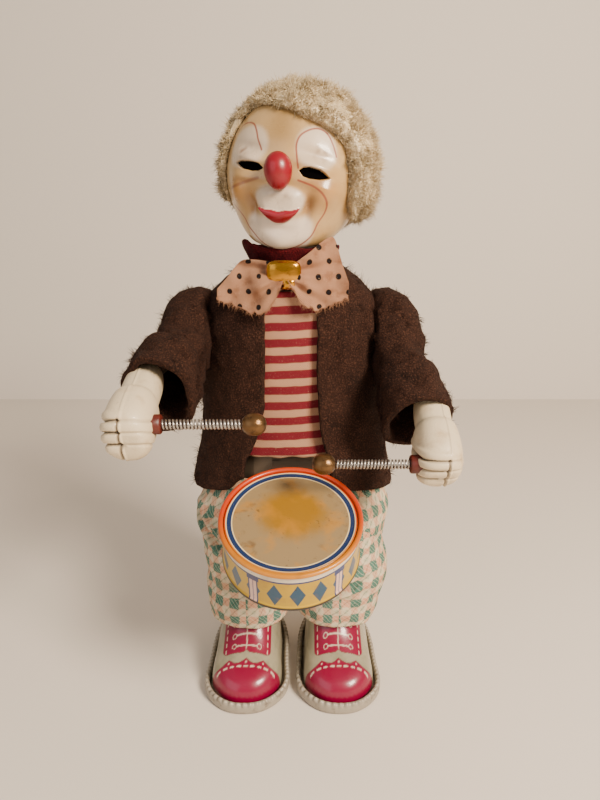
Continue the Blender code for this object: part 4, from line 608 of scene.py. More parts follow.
def drum_top():
    """Printed drum head: a thin dark blue ring between cream lines, orange outside it, and a beige skin
    with a mustard stain and brown smudges inside."""
    made = Finish("drum_head_tin", tint(140, 118, 82), 0.36, coat_weight=0.2, coat_roughness=0.2)
    x, y, _ = made.local()
    far = (x**2.0 + y**2.0) ** 0.5
    stain = (((x - 1.0) / 12.0) ** 2.0 + ((y - 3.5) / 11.0) ** 2.0) ** 0.5 + made.noise(6.0, 4) * 0.7
    made.wash(tint(144, 100, 0), stain.fade(1.8, 1.0) * 0.95)
    smudge = made.noise(5.0, 4)
    made.wash(tint(104, 76, 46), smudge.fade(0.55, 0.75) * (x.size() / 14.0).fade(0.5, 1.1) * 0.85)
    made.wash(tint(180, 122, 30), made.noise(11.0, 3).fade(0.48, 0.68) * 0.55)
    made.wash(tint(80, 54, 34), made.noise(2.6, 4).fade(0.64, 0.76) * 0.6)
    made.wash(tint(222, 200, 150), (far - 23.4).size().fade(1.35, 1.2))
    made.wash(tint(22, 44, 84), (far - 23.4).size().fade(0.95, 0.8))
    made.wash(tint(184, 52, 0), far.fade(24.55, 24.75))
    made.wash(tint(190, 118, 0), far.fade(24.55, 24.75) * y.fade(4.0, -24.0))
    made.wash(tint(50, 32, 20), made.noise(1.6, 5).fade(0.69, 0.75) * 0.7)
    return made.relief(made.noise(5.0, 2), 0.06)


def shoe_print():
    """Printed shoe: cream leather, a red toe cap with a scalloped edge, a red lace panel with laces."""
    made = Finish("shoe_tin", tint(150, 142, 118), 0.3, coat_weight=0.3, coat_roughness=0.1)
    made.local()
    made.wash(tint(118, 116, 90), made.noise(7.0, 4).fade(0.48, 0.75) * 0.6)
    made.paint("print")
    made.wash(tint(52, 38, 26), made.noise(1.2, 5).fade(0.69, 0.76) * 0.6)
    return made.relief(made.noise(2.5, 3), 0.05)


look = {
    "cream_plush": plush(),
    "painted_vinyl": vinyl(),
    "red_gloss": gloss_red(),
    "cream_plastic": cream_plastic(),
    "plaid_flannel": flannel(),
    "striped_cotton": striped_cotton(),
    "spotted_cotton": spotted_cotton(),
    "gilt": gilt(),
    "drum_tin": drum_print(),
    "drum_head_tin": drum_top(),
    "shoe_tin": shoe_print(),
    "brown_felt": felt("brown_felt", tint(44, 26, 19), tint(16, 9, 7), tint(84, 54, 40)),
    "red_felt": felt("red_felt", tint(66, 8, 14), tint(30, 4, 6), tint(104, 20, 24)),
    "tray_tin": plain("tray_tin", tint(156, 146, 130), 0.4, 0.1, tint(62, 44, 28), 3.0),
    # bare tin, darkened as painted shade for the bracket under the drum; every bare part shares it
    "bare_tin": plain("bare_tin", tint(104, 92, 80), 0.45, 0.8, tint(56, 40, 28), 4.0, 0.05),
    "steel": plain("steel", tint(176, 170, 164), 0.3, 0.9, tint(90, 74, 60), 2.0, 0.03),
    "brown_plug": plain("brown_plug", tint(84, 26, 16), 0.4, 0.0, tint(40, 16, 12), 2.0),
    "bead_wood": plain("bead_wood", tint(106, 78, 48), 0.32, 0.8, tint(46, 26, 14), 2.0),
    # black card: a dark sheet standing in for the shade in the hollow head behind the eye slots
    "black_card": plain("black_card", tint(6, 5, 5), 1.0, specular_ior_level=0.0),
}


# Shoes, trays and legs.

FOOT_X = 21.5
FOOT_Y = -7.75
FOOT_HALF = (15.8, 34.75)
SHOE_LEVELS = np.array([
    (1.1, 41.7, 26.4, 15.2), (2.6, 42.2, 26.8, 15.6), (4.8, 42.5, 27.0, 15.8), (7.4, 42.1, 27.0, 15.8),
    (9.6, 41.3, 27.0, 15.6), (11.6, 39.8, 26.9, 15.4), (13.1, 37.9, 26.6, 15.2),
    (14.7, 35.0, 26.2, 15.0), (16.0, 32.0, 26.0, 14.6), (18.8, 27.4, 25.0, 14.2),
    (22.4, 23.0, 23.6, 13.8), (26.0, 19.8, 21.0, 13.4), (29.6, 17.5, 18.0, 13.0),
    (32.0, 12.5, 13.0, 11.6), (33.4, 9.8, 10.0, 10.3)])


def foot_line(angle, half_width, half_depth, middle, back_power=2.5):
    """A foot's level outline: a superellipse, a fifth broader at the toe."""
    x, y = oval(angle, half_width, half_depth, back_power)
    y = y + middle
    return x * (1 + 0.2 * np.exp(-(((y + 33.15) / 11.0) ** 2))), y


def shoe_grid(side):
    """Upper: at each level a foot outline between the toe and heel distances, round at the ankle."""
    levels = flowing(SHOE_LEVELS, 110)
    angle = np.linspace(0, FULL_TURN, 320, endpoint=False)
    high = s_curve(levels[:, 0], 14, 32)[:, None]
    z, front, back, half = (levels[:, k][:, None] for k in range(4))
    x, y = foot_line(angle, half, (front + back) / 2, (back - front) / 2, 2.5 - 0.5 * high)
    x = x + side * (FOOT_X + (20.0 - FOOT_X) * high)
    return np.stack([x, y, np.broadcast_to(z, x.shape)], -1)


def shoe_paint(grid, side):
    """Red toe cap with a scalloped edge, dots and a dashed line; red lace panel with a middle line, two
    laces between ringed eyelets and dashed sides. All from x across and y along the foot, in mm."""
    x = grid[..., 0] - side * FOOT_X
    y = grid[..., 1]
    paint = np.zeros((*x.shape, 4))
    red, white = (128, 0, 48), (200, 182, 160)

    def lay(colour, share):
        share = np.clip(share, 0, 1)[..., None]
        paint[..., :3] = paint[..., :3] * (1 - share) + np.array(tint(*colour)) * share
        paint[..., 3:] = np.maximum(paint[..., 3:], share)

    def line(distance, half):
        return s_curve(-distance, -half - 0.12, -half + 0.12)

    drop = y + 31.4 + 0.006 * x**2
    lay(red, s_curve(1.9 * (1 - np.abs(np.sin(x * np.pi / 8.0))) - drop, -0.12, 0.12))
    lay(white, line(np.abs(drop + 1.5), 0.36) * s_curve(np.cos(x * FULL_TURN / 3.1), -0.5, -0.2))
    dot = np.abs(x - 8.0 * np.round(x / 8.0))
    lay(white, line(np.hypot(dot, drop - 0.3), 0.42))
    panel = np.maximum(np.abs(x) - 11.2, -27.6 + 0.8 * bell(x, 0, 1.2) - y)
    corner = np.hypot(np.maximum(np.abs(x) - 8.6, 0), np.maximum(-25.0 - y, 0)) - 2.6
    inside = np.maximum(panel, corner) + 100 * (y > -9)
    lay(red, s_curve(-inside, -0.12, 0.12))
    lay(white, line(np.abs(x), 0.22) * (inside < 0))
    lay(white, line(np.abs(np.abs(x) - 9.7), 0.2) * s_curve(np.cos(y * FULL_TURN / 2.9), -0.4, -0.1)
        * (inside < 0))
    for level in (-17.0, -21.2, -25.0):
        lay(white, line(np.maximum(np.abs(y - level) - 0.14, np.abs(x) - 4.9), 0.1))
        ring = np.hypot(np.abs(x) - 5.9, (y - level) * 1.1)
        lay(white, line(np.abs(ring - 0.95), 0.14))
    return paint


for name, side in SIDES.items():
    grid = shoe_grid(side)
    upper = skin("shoe_" + name, grid, "torso", "shoe_tin", paint={"print": shoe_paint(grid, side)})
    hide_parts("shoe_upper_" + name)

TRAY_STEPS = 720
TRAY_BEADS = 68
TRAY_PROFILE = [
    (-8.0, 0.0), (1.6, 0.0), (3.0, 0.5), (3.5, 1.6), (3.4, 4.4), (3.1, 5.5), (2.4, 6.0), (1.7, 5.6),
    (1.3, 4.6), (1.2, 2.0), (0.8, 0.95), (-8.0, 0.8)]


def tray_grid(side):
    """Sole tray: the foot outline grown by each profile step, its rolled rim beaded all round."""
    angle = np.linspace(0, FULL_TURN, TRAY_STEPS, endpoint=False)
    line = even_steps(np.stack(foot_line(angle, FOOT_HALF[0], FOOT_HALF[1], FOOT_Y), -1), TRAY_STEPS,
                      closed=True)
    ahead = np.roll(line, -1, 0) - np.roll(line, 1, 0)
    out = np.stack([-ahead[:, 1], ahead[:, 0]], -1)
    out /= np.linalg.norm(out, axis=1)[:, None]
    out *= np.sign((out * (line - (0, FOOT_Y))).sum(1))[:, None]
    profile = flowing(np.array(TRAY_PROFILE), 36)
    grow, z = profile[:, 0][:, None], profile[:, 1][:, None]
    bead = np.cos(np.arange(TRAY_STEPS) * FULL_TURN * TRAY_BEADS / TRAY_STEPS)
    crest = bell(z, 5.4, 1.1) * (grow > 1.0)
    x = line[:, 0] + out[:, 0] * (grow + 0.28 * bead * crest)
    y = line[:, 1] + out[:, 1] * (grow + 0.28 * bead * crest)
    return np.stack([x + side * FOOT_X, y, z + 0.3 * (bead - 1.0) * crest], -1)


for name, side in SIDES.items():
    tray = skin("tray_" + name, tray_grid(side), "torso", "tray_tin")
    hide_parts("sole_tray_" + name)


# Trousers.


def leg_grid(side):
    """Trouser leg: superellipse rings, wider towards the hip; the left one bulges outwards at the knee."""
    z = np.linspace(29.0, 82.0, 80)[:, None]
    angle = np.linspace(0, FULL_TURN, 150, endpoint=False)
    half_width = np.interp(z, [27, 45, 61, 75, 82], [19.4, 20.9, 21.4, 21.6, 21.2])
    half_depth = np.interp(z, [27, 45, 61, 75, 82], [23.4, 25.2, 26.2, 26.8, 26.4])
    x, y = oval(angle, half_width, half_depth, 2.3)
    x = x + side * (FOOT_X + 2.4 * (side > 0) * bell(z, 50, 14) * s_curve(np.sin(angle), 0.2, 1.0))
    return np.stack([x, y, np.broadcast_to(z, x.shape)], -1)


def hip_grid():
    """Seat of the trousers, from the crotch to the waist."""
    z = np.linspace(68.0, 103.0, 50)[:, None]
    angle = np.linspace(0, FULL_TURN, 260, endpoint=False)
    half_width = np.interp(z, [68, 74, 79.2, 86.2, 94, 103], [41.5, 43.3, 44.4, 44.6, 41.7, 35.8])
    half_depth = np.interp(z, [68, 74, 79.2, 86.2, 94, 103], [25.2, 27.2, 28.4, 27.7, 26.2, 23.8])
    power = np.interp(z, [68, 79.2, 86.2, 94, 103], [3.4, 3.0, 2.8, 2.4, 2.1])
    x, y = oval(angle, half_width, half_depth, power)
    return np.stack([x, y, np.broadcast_to(z, x.shape)], -1)


def crease(grid, start, end, width, depth):
    """Presses a groove into the cloth along a line from start to end, deepest in its middle, with the
    cloth swelling on both sides of it."""
    start, end = np.array(start, float), np.array(end, float)
    run = end - start
    t = np.clip(((grid - start) @ run) / (run @ run), 0, 1)
    away = np.linalg.norm(grid - start - t[..., None] * run, axis=-1)
    shape = bell(away, 0, width) - 0.55 * bell(away, width * 2.1, width * 0.9)
    return depth * shape * np.sin(np.pi * (0.08 + 0.84 * t))


def fold_cloth(grid, centre_x):
    """Moves each point towards or away from the leg's middle by wander and creases."""
    middle = np.stack([np.full(grid.shape[:-1], centre_x), np.zeros(grid.shape[:-1]), grid[..., 2]], -1)
    out = grid - middle
    out /= np.linalg.norm(out, axis=-1, keepdims=True) + 1e-9
    swell = 0.7 * wander(grid, 24.0, 4) + 0.3 * wander(grid * (1, 1, 1.6), 10.0, 5)
    dent = (crease(grid, (-45, -12, 87), (-30, -27, 69), 1.7, 5.0)
            + crease(grid, (9, -27, 44), (36, -24, 57), 1.5, 3.4)
            + crease(grid, (-14, -27, 60), (-26, -26, 44), 1.8, 1.1)
            + crease(grid, (10, -28, 88), (2, -27, 70), 1.8, 1.5)
            + crease(grid, (-6, -28, 90), (-1, -27, 68), 1.6, 1.4)
            + crease(grid, (30, 24, 70), (12, 27, 52), 1.8, 1.6)
            + crease(grid, (-34, 22, 66), (-16, 27, 48), 1.8, 1.6)
            + crease(grid, (0, 30, 98), (0, 27, 68), 1.6, 2.0))
    return grid + out * (swell - dent)[..., None]


def cloth_map(grid, per_turn):
    """Pattern place: height along, and the mean distance round as across."""
    return grid[:, :1, 2], np.linspace(0, per_turn, grid.shape[1] + 1)


trouser_pieces = []
for name, side in SIDES.items():
    grid = fold_cloth(leg_grid(side), side * FOOT_X)
    piece = skin("trouser_leg_" + name, grid, "torso", "plaid_flannel", ends=(False, False),
                 cloth=cloth_map(grid, 144.0))
    thicken(piece, 1.2)
    trouser_pieces.append(piece)
grid = hip_grid()
seat = skin("trouser_seat", fold_cloth(grid, 0.0), "torso", "plaid_flannel", ends=(False, False),
            cloth=cloth_map(grid, 234.0))
thicken(seat, 1.2)
trouser_pieces.append(seat)
for piece in trouser_pieces:
    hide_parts("trousers")


# Shirt and jacket.


SHIRT_STEPS = 90


def shirt_grid():
    """Shirt front: lies on the trunk's front half, a little proud of it, with a slack lower edge."""
    z = np.linspace(114.5, 184.5, SHIRT_STEPS)[:, None]
    angle = np.radians(np.linspace(-35, 35, SHIRT_STEPS))
    x, y = oval(angle, 34.0 + 1.3, 22.0 + 1.5)
    grid = np.stack(np.broadcast_arrays(x, y, z), -1)
    grid[..., 1] -= 0.25 + 0.25 * wander(grid, 14.0, 8) + 1.2 * s_curve(-z, -122, -114)
    grid[..., 2] += 0.9 * wander(grid, 9.0, 9) * s_curve(-z, -118, -114)
    return grid


grid = shirt_grid()
shirt = skin("shirt", grid, "torso", "striped_cotton", wrap=False, cloth=(grid[:, :, 2], grid[:, :, 0]))
thicken(shirt, 0.6)
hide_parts("shirt_front")

JACKET_HEM = 95.0
JACKET_LEVELS = np.array([
    (0, 46.0, 31.0), (3, 46.3, 31.2), (7, 45.6, 30.7), (20, 43.2, 29.6), (33, 41.6, 28.7),
    (52, 40.3, 28.1), (71, 39.5, 27.5), (81.5, 38.1, 26.5), (88, 35.4, 24.5), (94, 28.9, 21.5),
    (98.5, 22.5, 19.0), (101.5, 18.0, 17.3)])


def jacket_grid():
    """Jacket body: superellipse rings from the hem to the neck, open at the front between the two
    edges, which keep a constant angle, with rounded lower corners."""
    level = np.concatenate([np.linspace(0, 80, 80), np.linspace(80.6, 101.5, 32)])
    half_width, half_depth = (np.interp(level, JACKET_LEVELS[:, 0], JACKET_LEVELS[:, k])[:, None]
                              for k in (1, 2))
    low = 1.0 - s_curve(level[:, None], 4, 46)
    left, right = np.radians(15.0 + 4.5 * low), np.radians(15.5 + 9.0 * low)
    share = np.linspace(0, 1, 220)
    angle = left + share * (FULL_TURN - left - right)
    x, y = oval(angle, half_width, half_depth, 2.1)
    lift = level[:, None]
    front = np.maximum(np.cos(angle), 0.0)
    corner = np.maximum(bell(share, 0, 0.035), bell(share, 1, 0.035))
    fall = 1.0 - s_curve(lift, 0, 34)
    z = JACKET_HEM + lift + (6.0 * front**2 + 6.0 * corner**2) * fall
    return np.stack([x, y, z], -1), share


grid, share = jacket_grid()
middle = grid * (0, 0, 1)
out = (grid - middle) / (np.linalg.norm((grid - middle)[..., :2], axis=-1, keepdims=True) + 1e-9)
jacket_edge = np.maximum(bell(share, 0, 0.03), bell(share, 1, 0.03))
flare = (1.4 * jacket_edge * s_curve(-grid[..., 2], -140, -96)
         + 0.5 * wander(grid, 24.0, 12) + 0.25 * wander(grid, 8.0, 13))
grid = grid + out * flare[..., None]
jacket = skin("jacket", grid, "torso", "brown_felt", wrap=False, closed=False,
              cloth=(grid[:, :1, 2], share * 230.0))
thicken(jacket, 2.0)
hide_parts("jacket_body")
pile("jacket_fuzz", grid, np.array([0, 0, 140.0]), 9500, 101, (0.9, 2.2), 0.1, 2.6, "torso", "brown_felt",
     on_toy)


# Sleeves, hands and sticks.

SLEEVE_PATH = np.array([
    (29.0, 0, 0, 12.4, 12.8), (36.0, 0.1, 0.4, 12.9, 14.0), (40.5, 1.6, 1.0, 13.2, 15.4),
    (43.2, 7.0, 0.5, 13.6, 15.0), (44.0, 16.0, -1.0, 12.4, 13.6), (45.4, 28.0, -2.0, 11.6, 13.2),
    (48.4, 41.0, -2.8, 12.0, 14.2), (50.6, 53, -3.4, 11.9, 14.6)])
ARM_PATH = np.array([
    (33.0, 0, 0, 3, 3), (38.5, 0.6, 0, 3, 3), (42.5, 4.5, 0, 3, 3), (44.5, 13.0, 0, 3, 3),
    (47.0, 26.0, 0, 3, 3), (51.5, 37.0, 0, 3, 3), (55.5, 46.0, 0, 3, 3)])
TRUNK_SIDE = 36.0
CUFF_ROWS = [
    (0.0, 0.0), (0.2, 0.0), (0.45, 0.0), (0.66, 0.0), (0.70, 0.1), (0.71, 1.2), (0.72, 2.2),
    (0.75, 2.5), (0.85, 2.3), (0.96, 2.5), (0.99, 2.4), (1.0, 1.6), (1.0, 0.3), (0.985, -0.4),
    (0.9, -0.7), (0.6, -0.9), (0.05, -1.1)]


def tube_grid(path, rows, around, power=2.1):
    """A sleeve: at each row (share of the path, growth of the section) a superellipse stands square to
    the path, its width sideways and its height along the rise."""
    path = flowing(path, 240)
    share = np.linspace(0, 1, len(path))
    lean = np.gradient(path[:, :2], axis=0)
    lean /= np.linalg.norm(lean, axis=1)[:, None]
    at = np.array([[np.interp(s, share, column) for column in (*path.T, *lean.T)] for s, _ in rows])
    grow = np.array([g for _, g in rows])[:, None]
    angle = np.linspace(0, FULL_TURN, around, endpoint=False)
    wide, high = oval(angle, at[:, 3:4] + grow, at[:, 4:5] + grow, power)
    out = at[:, 0:1] + wide * at[:, 6:7]
    forward = at[:, 1:2] - wide * at[:, 5:6]
    return out, forward, at[:, 2:3] - high


for name, side in SIDES.items():
    rows = flowing(np.array(CUFF_ROWS), 150)
    out, forward, rise = tube_grid(SLEEVE_PATH, rows, 150)
    out = np.where(out < TRUNK_SIDE, TRUNK_SIDE + 0.15 * (out - TRUNK_SIDE), out)
    grid = arm_grid(side, out, forward, rise)
    core = grid.mean(1, keepdims=True)
    away = (grid - core) / np.linalg.norm(grid - core, axis=-1, keepdims=True)
    folds = (1.1 * np.sin(forward * 0.42 + 1.6 * np.sin(np.arctan2(rise, out - 48.0) + side))
             * s_curve(forward, 2, 14) * s_curve(-forward, -40, -30))
    bumps = folds + 0.45 * wander(grid, 16.0, 21 + side) + 0.2 * wander(grid, 7.0, 22)
    grid = grid + away * bumps[..., None]
    sleeve = skin("sleeve_cloth_" + name, grid, "arm_" + name, "brown_felt", ends=(False, False),
                  place=on_arm(side), cloth=(np.linspace(0, 70, 150), np.linspace(0, 88, 151)))
    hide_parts("sleeve_" + name)
    out, forward, rise = tube_grid(ARM_PATH, [(s, 0.0) for s in np.linspace(0, 1, 40)], 24)
    tube = skin("arm_rod_" + name, arm_grid(side, out, forward, rise), "arm_" + name, "bare_tin",
                place=on_arm(side))
    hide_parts("arm_tube_" + name)
    outside = grid[:112]
    pile("sleeve_fuzz_" + name, outside, outside.mean((0, 1)), 7000, 111, (0.8, 1.8), 0.1, 2.4,
         "arm_" + name, "brown_felt", on_arm(side))

FIST_SECTIONS = np.array([
    (43, 0, 4.8, 4.8), (44.5, 0, 6.2, 6.4), (50, 0, 6.9, 7.3), (56, 0, 7.0, 7.5), (61.3, 0, 6.9, 7.8),
    (62.6, -0.2, 7.5, 9.0), (65, -0.4, 8.3, 10.3), (70, -0.6, 8.8, 11.0), (76, -0.8, 8.8, 11.0),
    (80, -1.0, 8.2, 10.0), (82.4, -1.1, 6.8, 8.0), (83.4, -1.2, 4.8, 5.4), (83.6, -1.2, 1.5, 1.8)])
HAND_X = 55.5


def fist_grid(side):
    """Fist: rounded sections along the arm; four curled fingers lie one above the other, parted by
    grooves that are deeper on the clown's right of a thin moulding seam. The left fist sits farther
    back on its arm."""
    sections = flowing(FIST_SECTIONS, 130)
    forward, rise, half_width, half_height = (sections[:, k][:, None] for k in range(4))
    angle = np.linspace(0, FULL_TURN, 190, endpoint=False)
    x, up = oval(angle, half_width, half_height, 2.35)
    up = -up
    level = up + 0.85 * (83.6 - forward)
    curled = s_curve(forward, 62.5, 65.5) * s_curve(-level, -16.0, -13.5)
    seam_x = 0.6 if side < 0 else 2.8
    outer = s_curve(-side * (x - seam_x), -0.6, 0.8)
    groove = sum(bell(level, line, 0.55) for line in (10.3, 5.1, -0.1)) * curled
    swell = sum(bell(level, line, 1.8) for line in (13.0, 7.7, 2.5, -2.9)) * curled
    tips = bell(-side * (x - seam_x), 0.9, 0.4) * curled * s_curve(-level, -12.0, -10.5)
    press = (0.6 + 1.3 * outer) * groove - 0.6 * swell * outer + 0.9 * tips
    front = s_curve(forward, 78.0, 82.5)
    size = np.hypot(x, up) + 1e-9
    x, up = x * (1 - press * (1 - 0.5 * front) / size), up * (1 - press * (1 - 0.8 * front) / size)
    forward = forward - 0.8 * press * front
    seam = 0.4 * bell(x, seam_x, 0.3)
    up = up + np.sign(up) * seam * (1 - front)
    # darker in the finger grooves and along the fingertips: grime and painted shade
    groove_grime_and_shade = groove * (0.25 + 0.75 * outer) + 0.9 * tips
    back = 4.0 * s_curve(forward, 52.0, 62.0) * (side > 0)
    return arm_grid(side, HAND_X + x, forward + seam * front - back, rise + up), groove_grime_and_shade


def stick_line(name):
    """The spring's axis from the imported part's box, in the toy's frame: start x, end x, y, z."""
    low, high = (np.array(c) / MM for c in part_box("stick_spring_" + name))
    inner, outer = sorted((low[0], high[0]), key=abs)
    return outer, inner, (low[1] + high[1]) / 2 - AXIS_Y, (low[2] + high[2]) / 2


def coil_grid(start, end, y, z, turns, radius, wire):
    """Spring: a round wire carried along a helix about the x axis."""
    t = np.linspace(0, 1, turns * 22)[:, None]
    ring = np.linspace(0, FULL_TURN, 8, endpoint=False)
    angle = t * turns * FULL_TURN
    reach = radius + wire * np.cos(ring)
    return np.stack([start + (end - start) * t + wire * np.sin(ring) * np.ones_like(t),
                     y + reach * np.cos(angle), z + reach * np.sin(angle)], -1)


def lathe_x(profile, y, z, around=48):
    """A turned piece about a line along x: profile rows are (x, radius)."""
    profile = np.asarray(profile, float)
    angle = np.linspace(0, FULL_TURN, around, endpoint=False)
    x, radius = profile[:, :1], profile[:, 1:]
    return np.stack([np.broadcast_to(x, (len(profile), around)), y + radius * np.cos(angle),
                     z + radius * np.sin(angle)], -1)


def ball_profile(centre, half_length, radius, power=2.2):
    """(x, radius) rows of a rounded bead: a superellipse."""
    t = np.linspace(-0.999, 0.999, 26)
    return np.stack([centre + half_length * t, radius * (1 - np.abs(t) ** power) ** (1 / power)], -1)


for name, side in SIDES.items():
    grid, groove_grime_and_shade = fist_grid(side)
    # brown in the grooves: grime and painted shade
    paint = np.zeros((*groove_grime_and_shade.shape, 4))
    paint[..., :3] = tint(64, 42, 26)
    paint[..., 3] = 0.9 * np.clip(groove_grime_and_shade, 0, 1)
    hand = skin("fist_" + name, grid, "arm_" + name, "cream_plastic", place=on_arm(side),
                paint={"face": paint})
    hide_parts("hand_" + name)
    outer, inner, y, z = stick_line(name)
    spring = skin("spring_" + name, coil_grid(outer, inner, y, z, 22, 1.45, 0.42), "stick_" + name, "steel")
    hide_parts("stick_spring_" + name)
    plug_rows = [(side * 44.5, 0.4), (side * 44.5, 3.1), (side * 44.9, 3.5), (side * 50.0, 3.6),
                 (side * 50.6, 3.3), (side * 50.8, 0.4)]
    plug = skin("plug_" + name, lathe_x(plug_rows, y, z), "arm_" + name, "brown_plug")
    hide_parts("stick_plug_" + name)
    bead = skin("bead_" + name, lathe_x(ball_profile(side * 12.45, 4.4, 4.0), y, z), "stick_" + name,
                "bead_wood")
    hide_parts("stick_bead_" + name)


# Drum.

DRUM_PROFILE = [
    (25.9, -19.5), (27.2, -19.5), (27.3, -18.9), (26.9, -18.2), (26.6, -17.6), (26.6, -10.0),
    (26.6, -2.0), (26.9, -1.5), (27.45, -0.9), (27.45, -0.2), (27.0, 0.3), (26.2, 0.35), (25.6, 0.0),
    (25.5, -0.8), (25.7, -1.6), (25.8, -10.0), (25.9, -19.3)]


def lathe_z(profile, around):
    """A turned piece about its own z axis: profile rows are (radius, z)."""
    profile = np.asarray(profile, float)
    angle = np.linspace(0, FULL_TURN, around, endpoint=False)
    radius, z = profile[:, :1], profile[:, 1:]
    return np.stack([radius * np.sin(angle), -radius * np.cos(angle),
                     np.broadcast_to(z, (len(profile), around))], -1)


rows = even_steps(DRUM_PROFILE, 130)
shell = skin("drum_wall", lathe_z(rows, 180), "torso", "drum_tin", place=on_drum, ends=(False, False),
             closed=False,
             cloth=(rows[:, 1], np.linspace(0, 167.13, 181)))
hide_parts("drum_shell")
head_rows = [
    (25.2, -2.9), (25.35, -2.0), (25.38, -1.0), (25.2, -0.62), (24.6, -0.6), (24.2, -0.85),
    (23.4, -1.0), (20.0, -1.1), (12.0, -1.1), (0.3, -1.05)]
top = skin("drum_skin", lathe_z(even_steps(head_rows, 60), 180), "torso", "drum_head_tin", place=on_drum)
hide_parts("drum_head")


# Neck.


COLLAR_PEAK = np.radians(290)
COLLAR_SPREAD = np.radians(26)


def collar_grid():
    """Collar: a thick felt ring, flaring upwards, lower in front and drawn up at the clown's right, its
    edge uneven."""
    profile = flowing(np.array([(13.4, 191.0), (15.4, 191.0), (17.4, 194.5), (19.6, 199.0), (20.6, 202.0),
                                (19.8, 202.8), (18.6, 201.6), (16.2, 197.0), (13.4, 191.6)]), 40)
    angle = np.linspace(0, FULL_TURN, 180, endpoint=False)
    radius, z = profile[:, :1], profile[:, 1:]
    share = (z - 191.0) / 12.0
    dip = (1.3 * s_curve(np.cos(angle), -0.3, 0.9) - 3.0 * bell(angle, COLLAR_PEAK, COLLAR_SPREAD)) * share
    radius = radius + 1.2 * share * bell(angle, COLLAR_PEAK, COLLAR_SPREAD)
    grid = np.stack([radius * np.sin(angle), -radius * np.cos(angle), z - dip], -1)
    return grid + 0.3 * wander(grid, 7.0, 31)[..., None] * (0.3, 0.3, 1)


band = skin("neck_band", collar_grid(), "torso", "red_felt", ends=(False, False), closed=False,
            cloth=(np.linspace(0, 22, 40), np.linspace(0, 95, 181)))
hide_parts("collar")


KNOT_X = -2.9
BOW_EDGES = np.array([
    (-30, 185.5, 181.5, 1.5), (-26, 190, 180.3, 0.5), (-21, 196, 178.4, -0.6), (-16, 197, 176.6, -0.2),
    (-10, 196.5, 177.2, 0.6), (-6, 195.5, 182.5, 0.9), (-2.9, 194.5, 189.5, 0.8), (0, 195, 187, 0.9),
    (4, 197.5, 180.5, 0.7), (8, 200.5, 178.5, 0.2), (11, 203, 178, -0.3), (15, 205.5, 179, -0.7),
    (17.5, 205, 180.5, -0.4), (20, 197.5, 181.5, 0.4), (22.8, 188.5, 182.5, 1.2)])


def bow_grid():
    """Bow: a strip of cloth between its upper and lower edge lines, pinched in the middle and drooping
    to both tips, leaning back up the chest, with folds that run out from the knot."""
    line = flowing(BOW_EDGES, 150)
    x, top_z, low_z, forward = (line[:, k][None, :] for k in range(4))
    along = np.linspace(0, 1, 70)[:, None]
    z = low_z + (top_z - low_z) * along
    from_knot = np.abs(x - KNOT_X)
    fan = np.arctan2(z - 192.0, from_knot + 2.0)
    folds = ((1.3 * np.sin(fan * 8.0 + 0.6) + 0.6 * np.sin(fan * 17.0)) * s_curve(from_knot, 1, 9)
             * (1 - 0.5 * s_curve(from_knot, 12, 26)))
    lie = 1.0 * wander(np.stack(np.broadcast_arrays(x, 0 * x, z), -1), 12.0, 41)
    y = -24.2 + 0.36 * (z - 191.9) + 0.0075 * x**2 - forward + folds + lie
    edge = np.stack(np.broadcast_arrays(x, 0 * x, 0 * z), -1)
    ragged = 0.5 * wander(edge, 2.2, 42) * s_curve(-along, -0.06, 0)
    return np.stack(np.broadcast_arrays(x, y, z + ragged), -1)


grid = bow_grid()
bow = skin("bow_cloth", grid, "torso", "spotted_cotton", wrap=False, cloth=(grid[..., 2], grid[..., 0]))
thicken(bow, 0.5)
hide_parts("bow_tie")


def fringe(name, edge, ways, count, seed, lengths, width, body, slot_name):
    """Loose threads along an edge line, each a little bent."""
    rng = np.random.default_rng(seed)
    at = rng.uniform(0, len(edge) - 1.001, count)
    low = at.astype(int)
    roots = edge[low] + (edge[low + 1] - edge[low]) * (at - low)[:, None]
    lean = np.asarray(ways) + 0.35 * rng.normal(size=(count, 3))
    lean /= np.linalg.norm(lean, axis=1)[:, None]
    bends = 0.35 * rng.normal(size=(count, 3))
    return fibres(name, roots - lean * 0.4, lean, bends, rng.uniform(*lengths, count), width, body, slot_name)


fringe("bow_fringe", grid[0], (0, -0.15, -1), 420, 45, (0.8, 2.4), 0.09, "torso", "spotted_cotton")


def clasp_grid():
    """Clasp: a domed rounded rectangle, standing in front of the knot."""
    sizes = np.array([(0.15, 2.9), (0.5, 2.7), (0.78, 2.2), (0.93, 1.5), (1.0, 0.7), (0.98, 0.0),
                      (0.6, -0.1), (0.05, -0.1)])
    sizes = even_steps(sizes, 30)
    angle = np.linspace(0, FULL_TURN, 120, endpoint=False)
    x, z = oval(angle, 6.9 * sizes[:, :1], 4.7 * sizes[:, :1], 3.6)
    y = -24.7 - sizes[:, 1:] + 0.3 * z / 4.8
    return np.stack([x + KNOT_X, y + 0 * x, 192.2 - z], -1)


clasp = skin("clasp", clasp_grid(), "torso", "gilt")
tab = skin("clasp_tab", clasp_grid() * (0.46, 1.0, 0.5) + (0.2, 0.4, 91.5), "torso", "gilt")
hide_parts("bow_clasp")


# Head and wig.

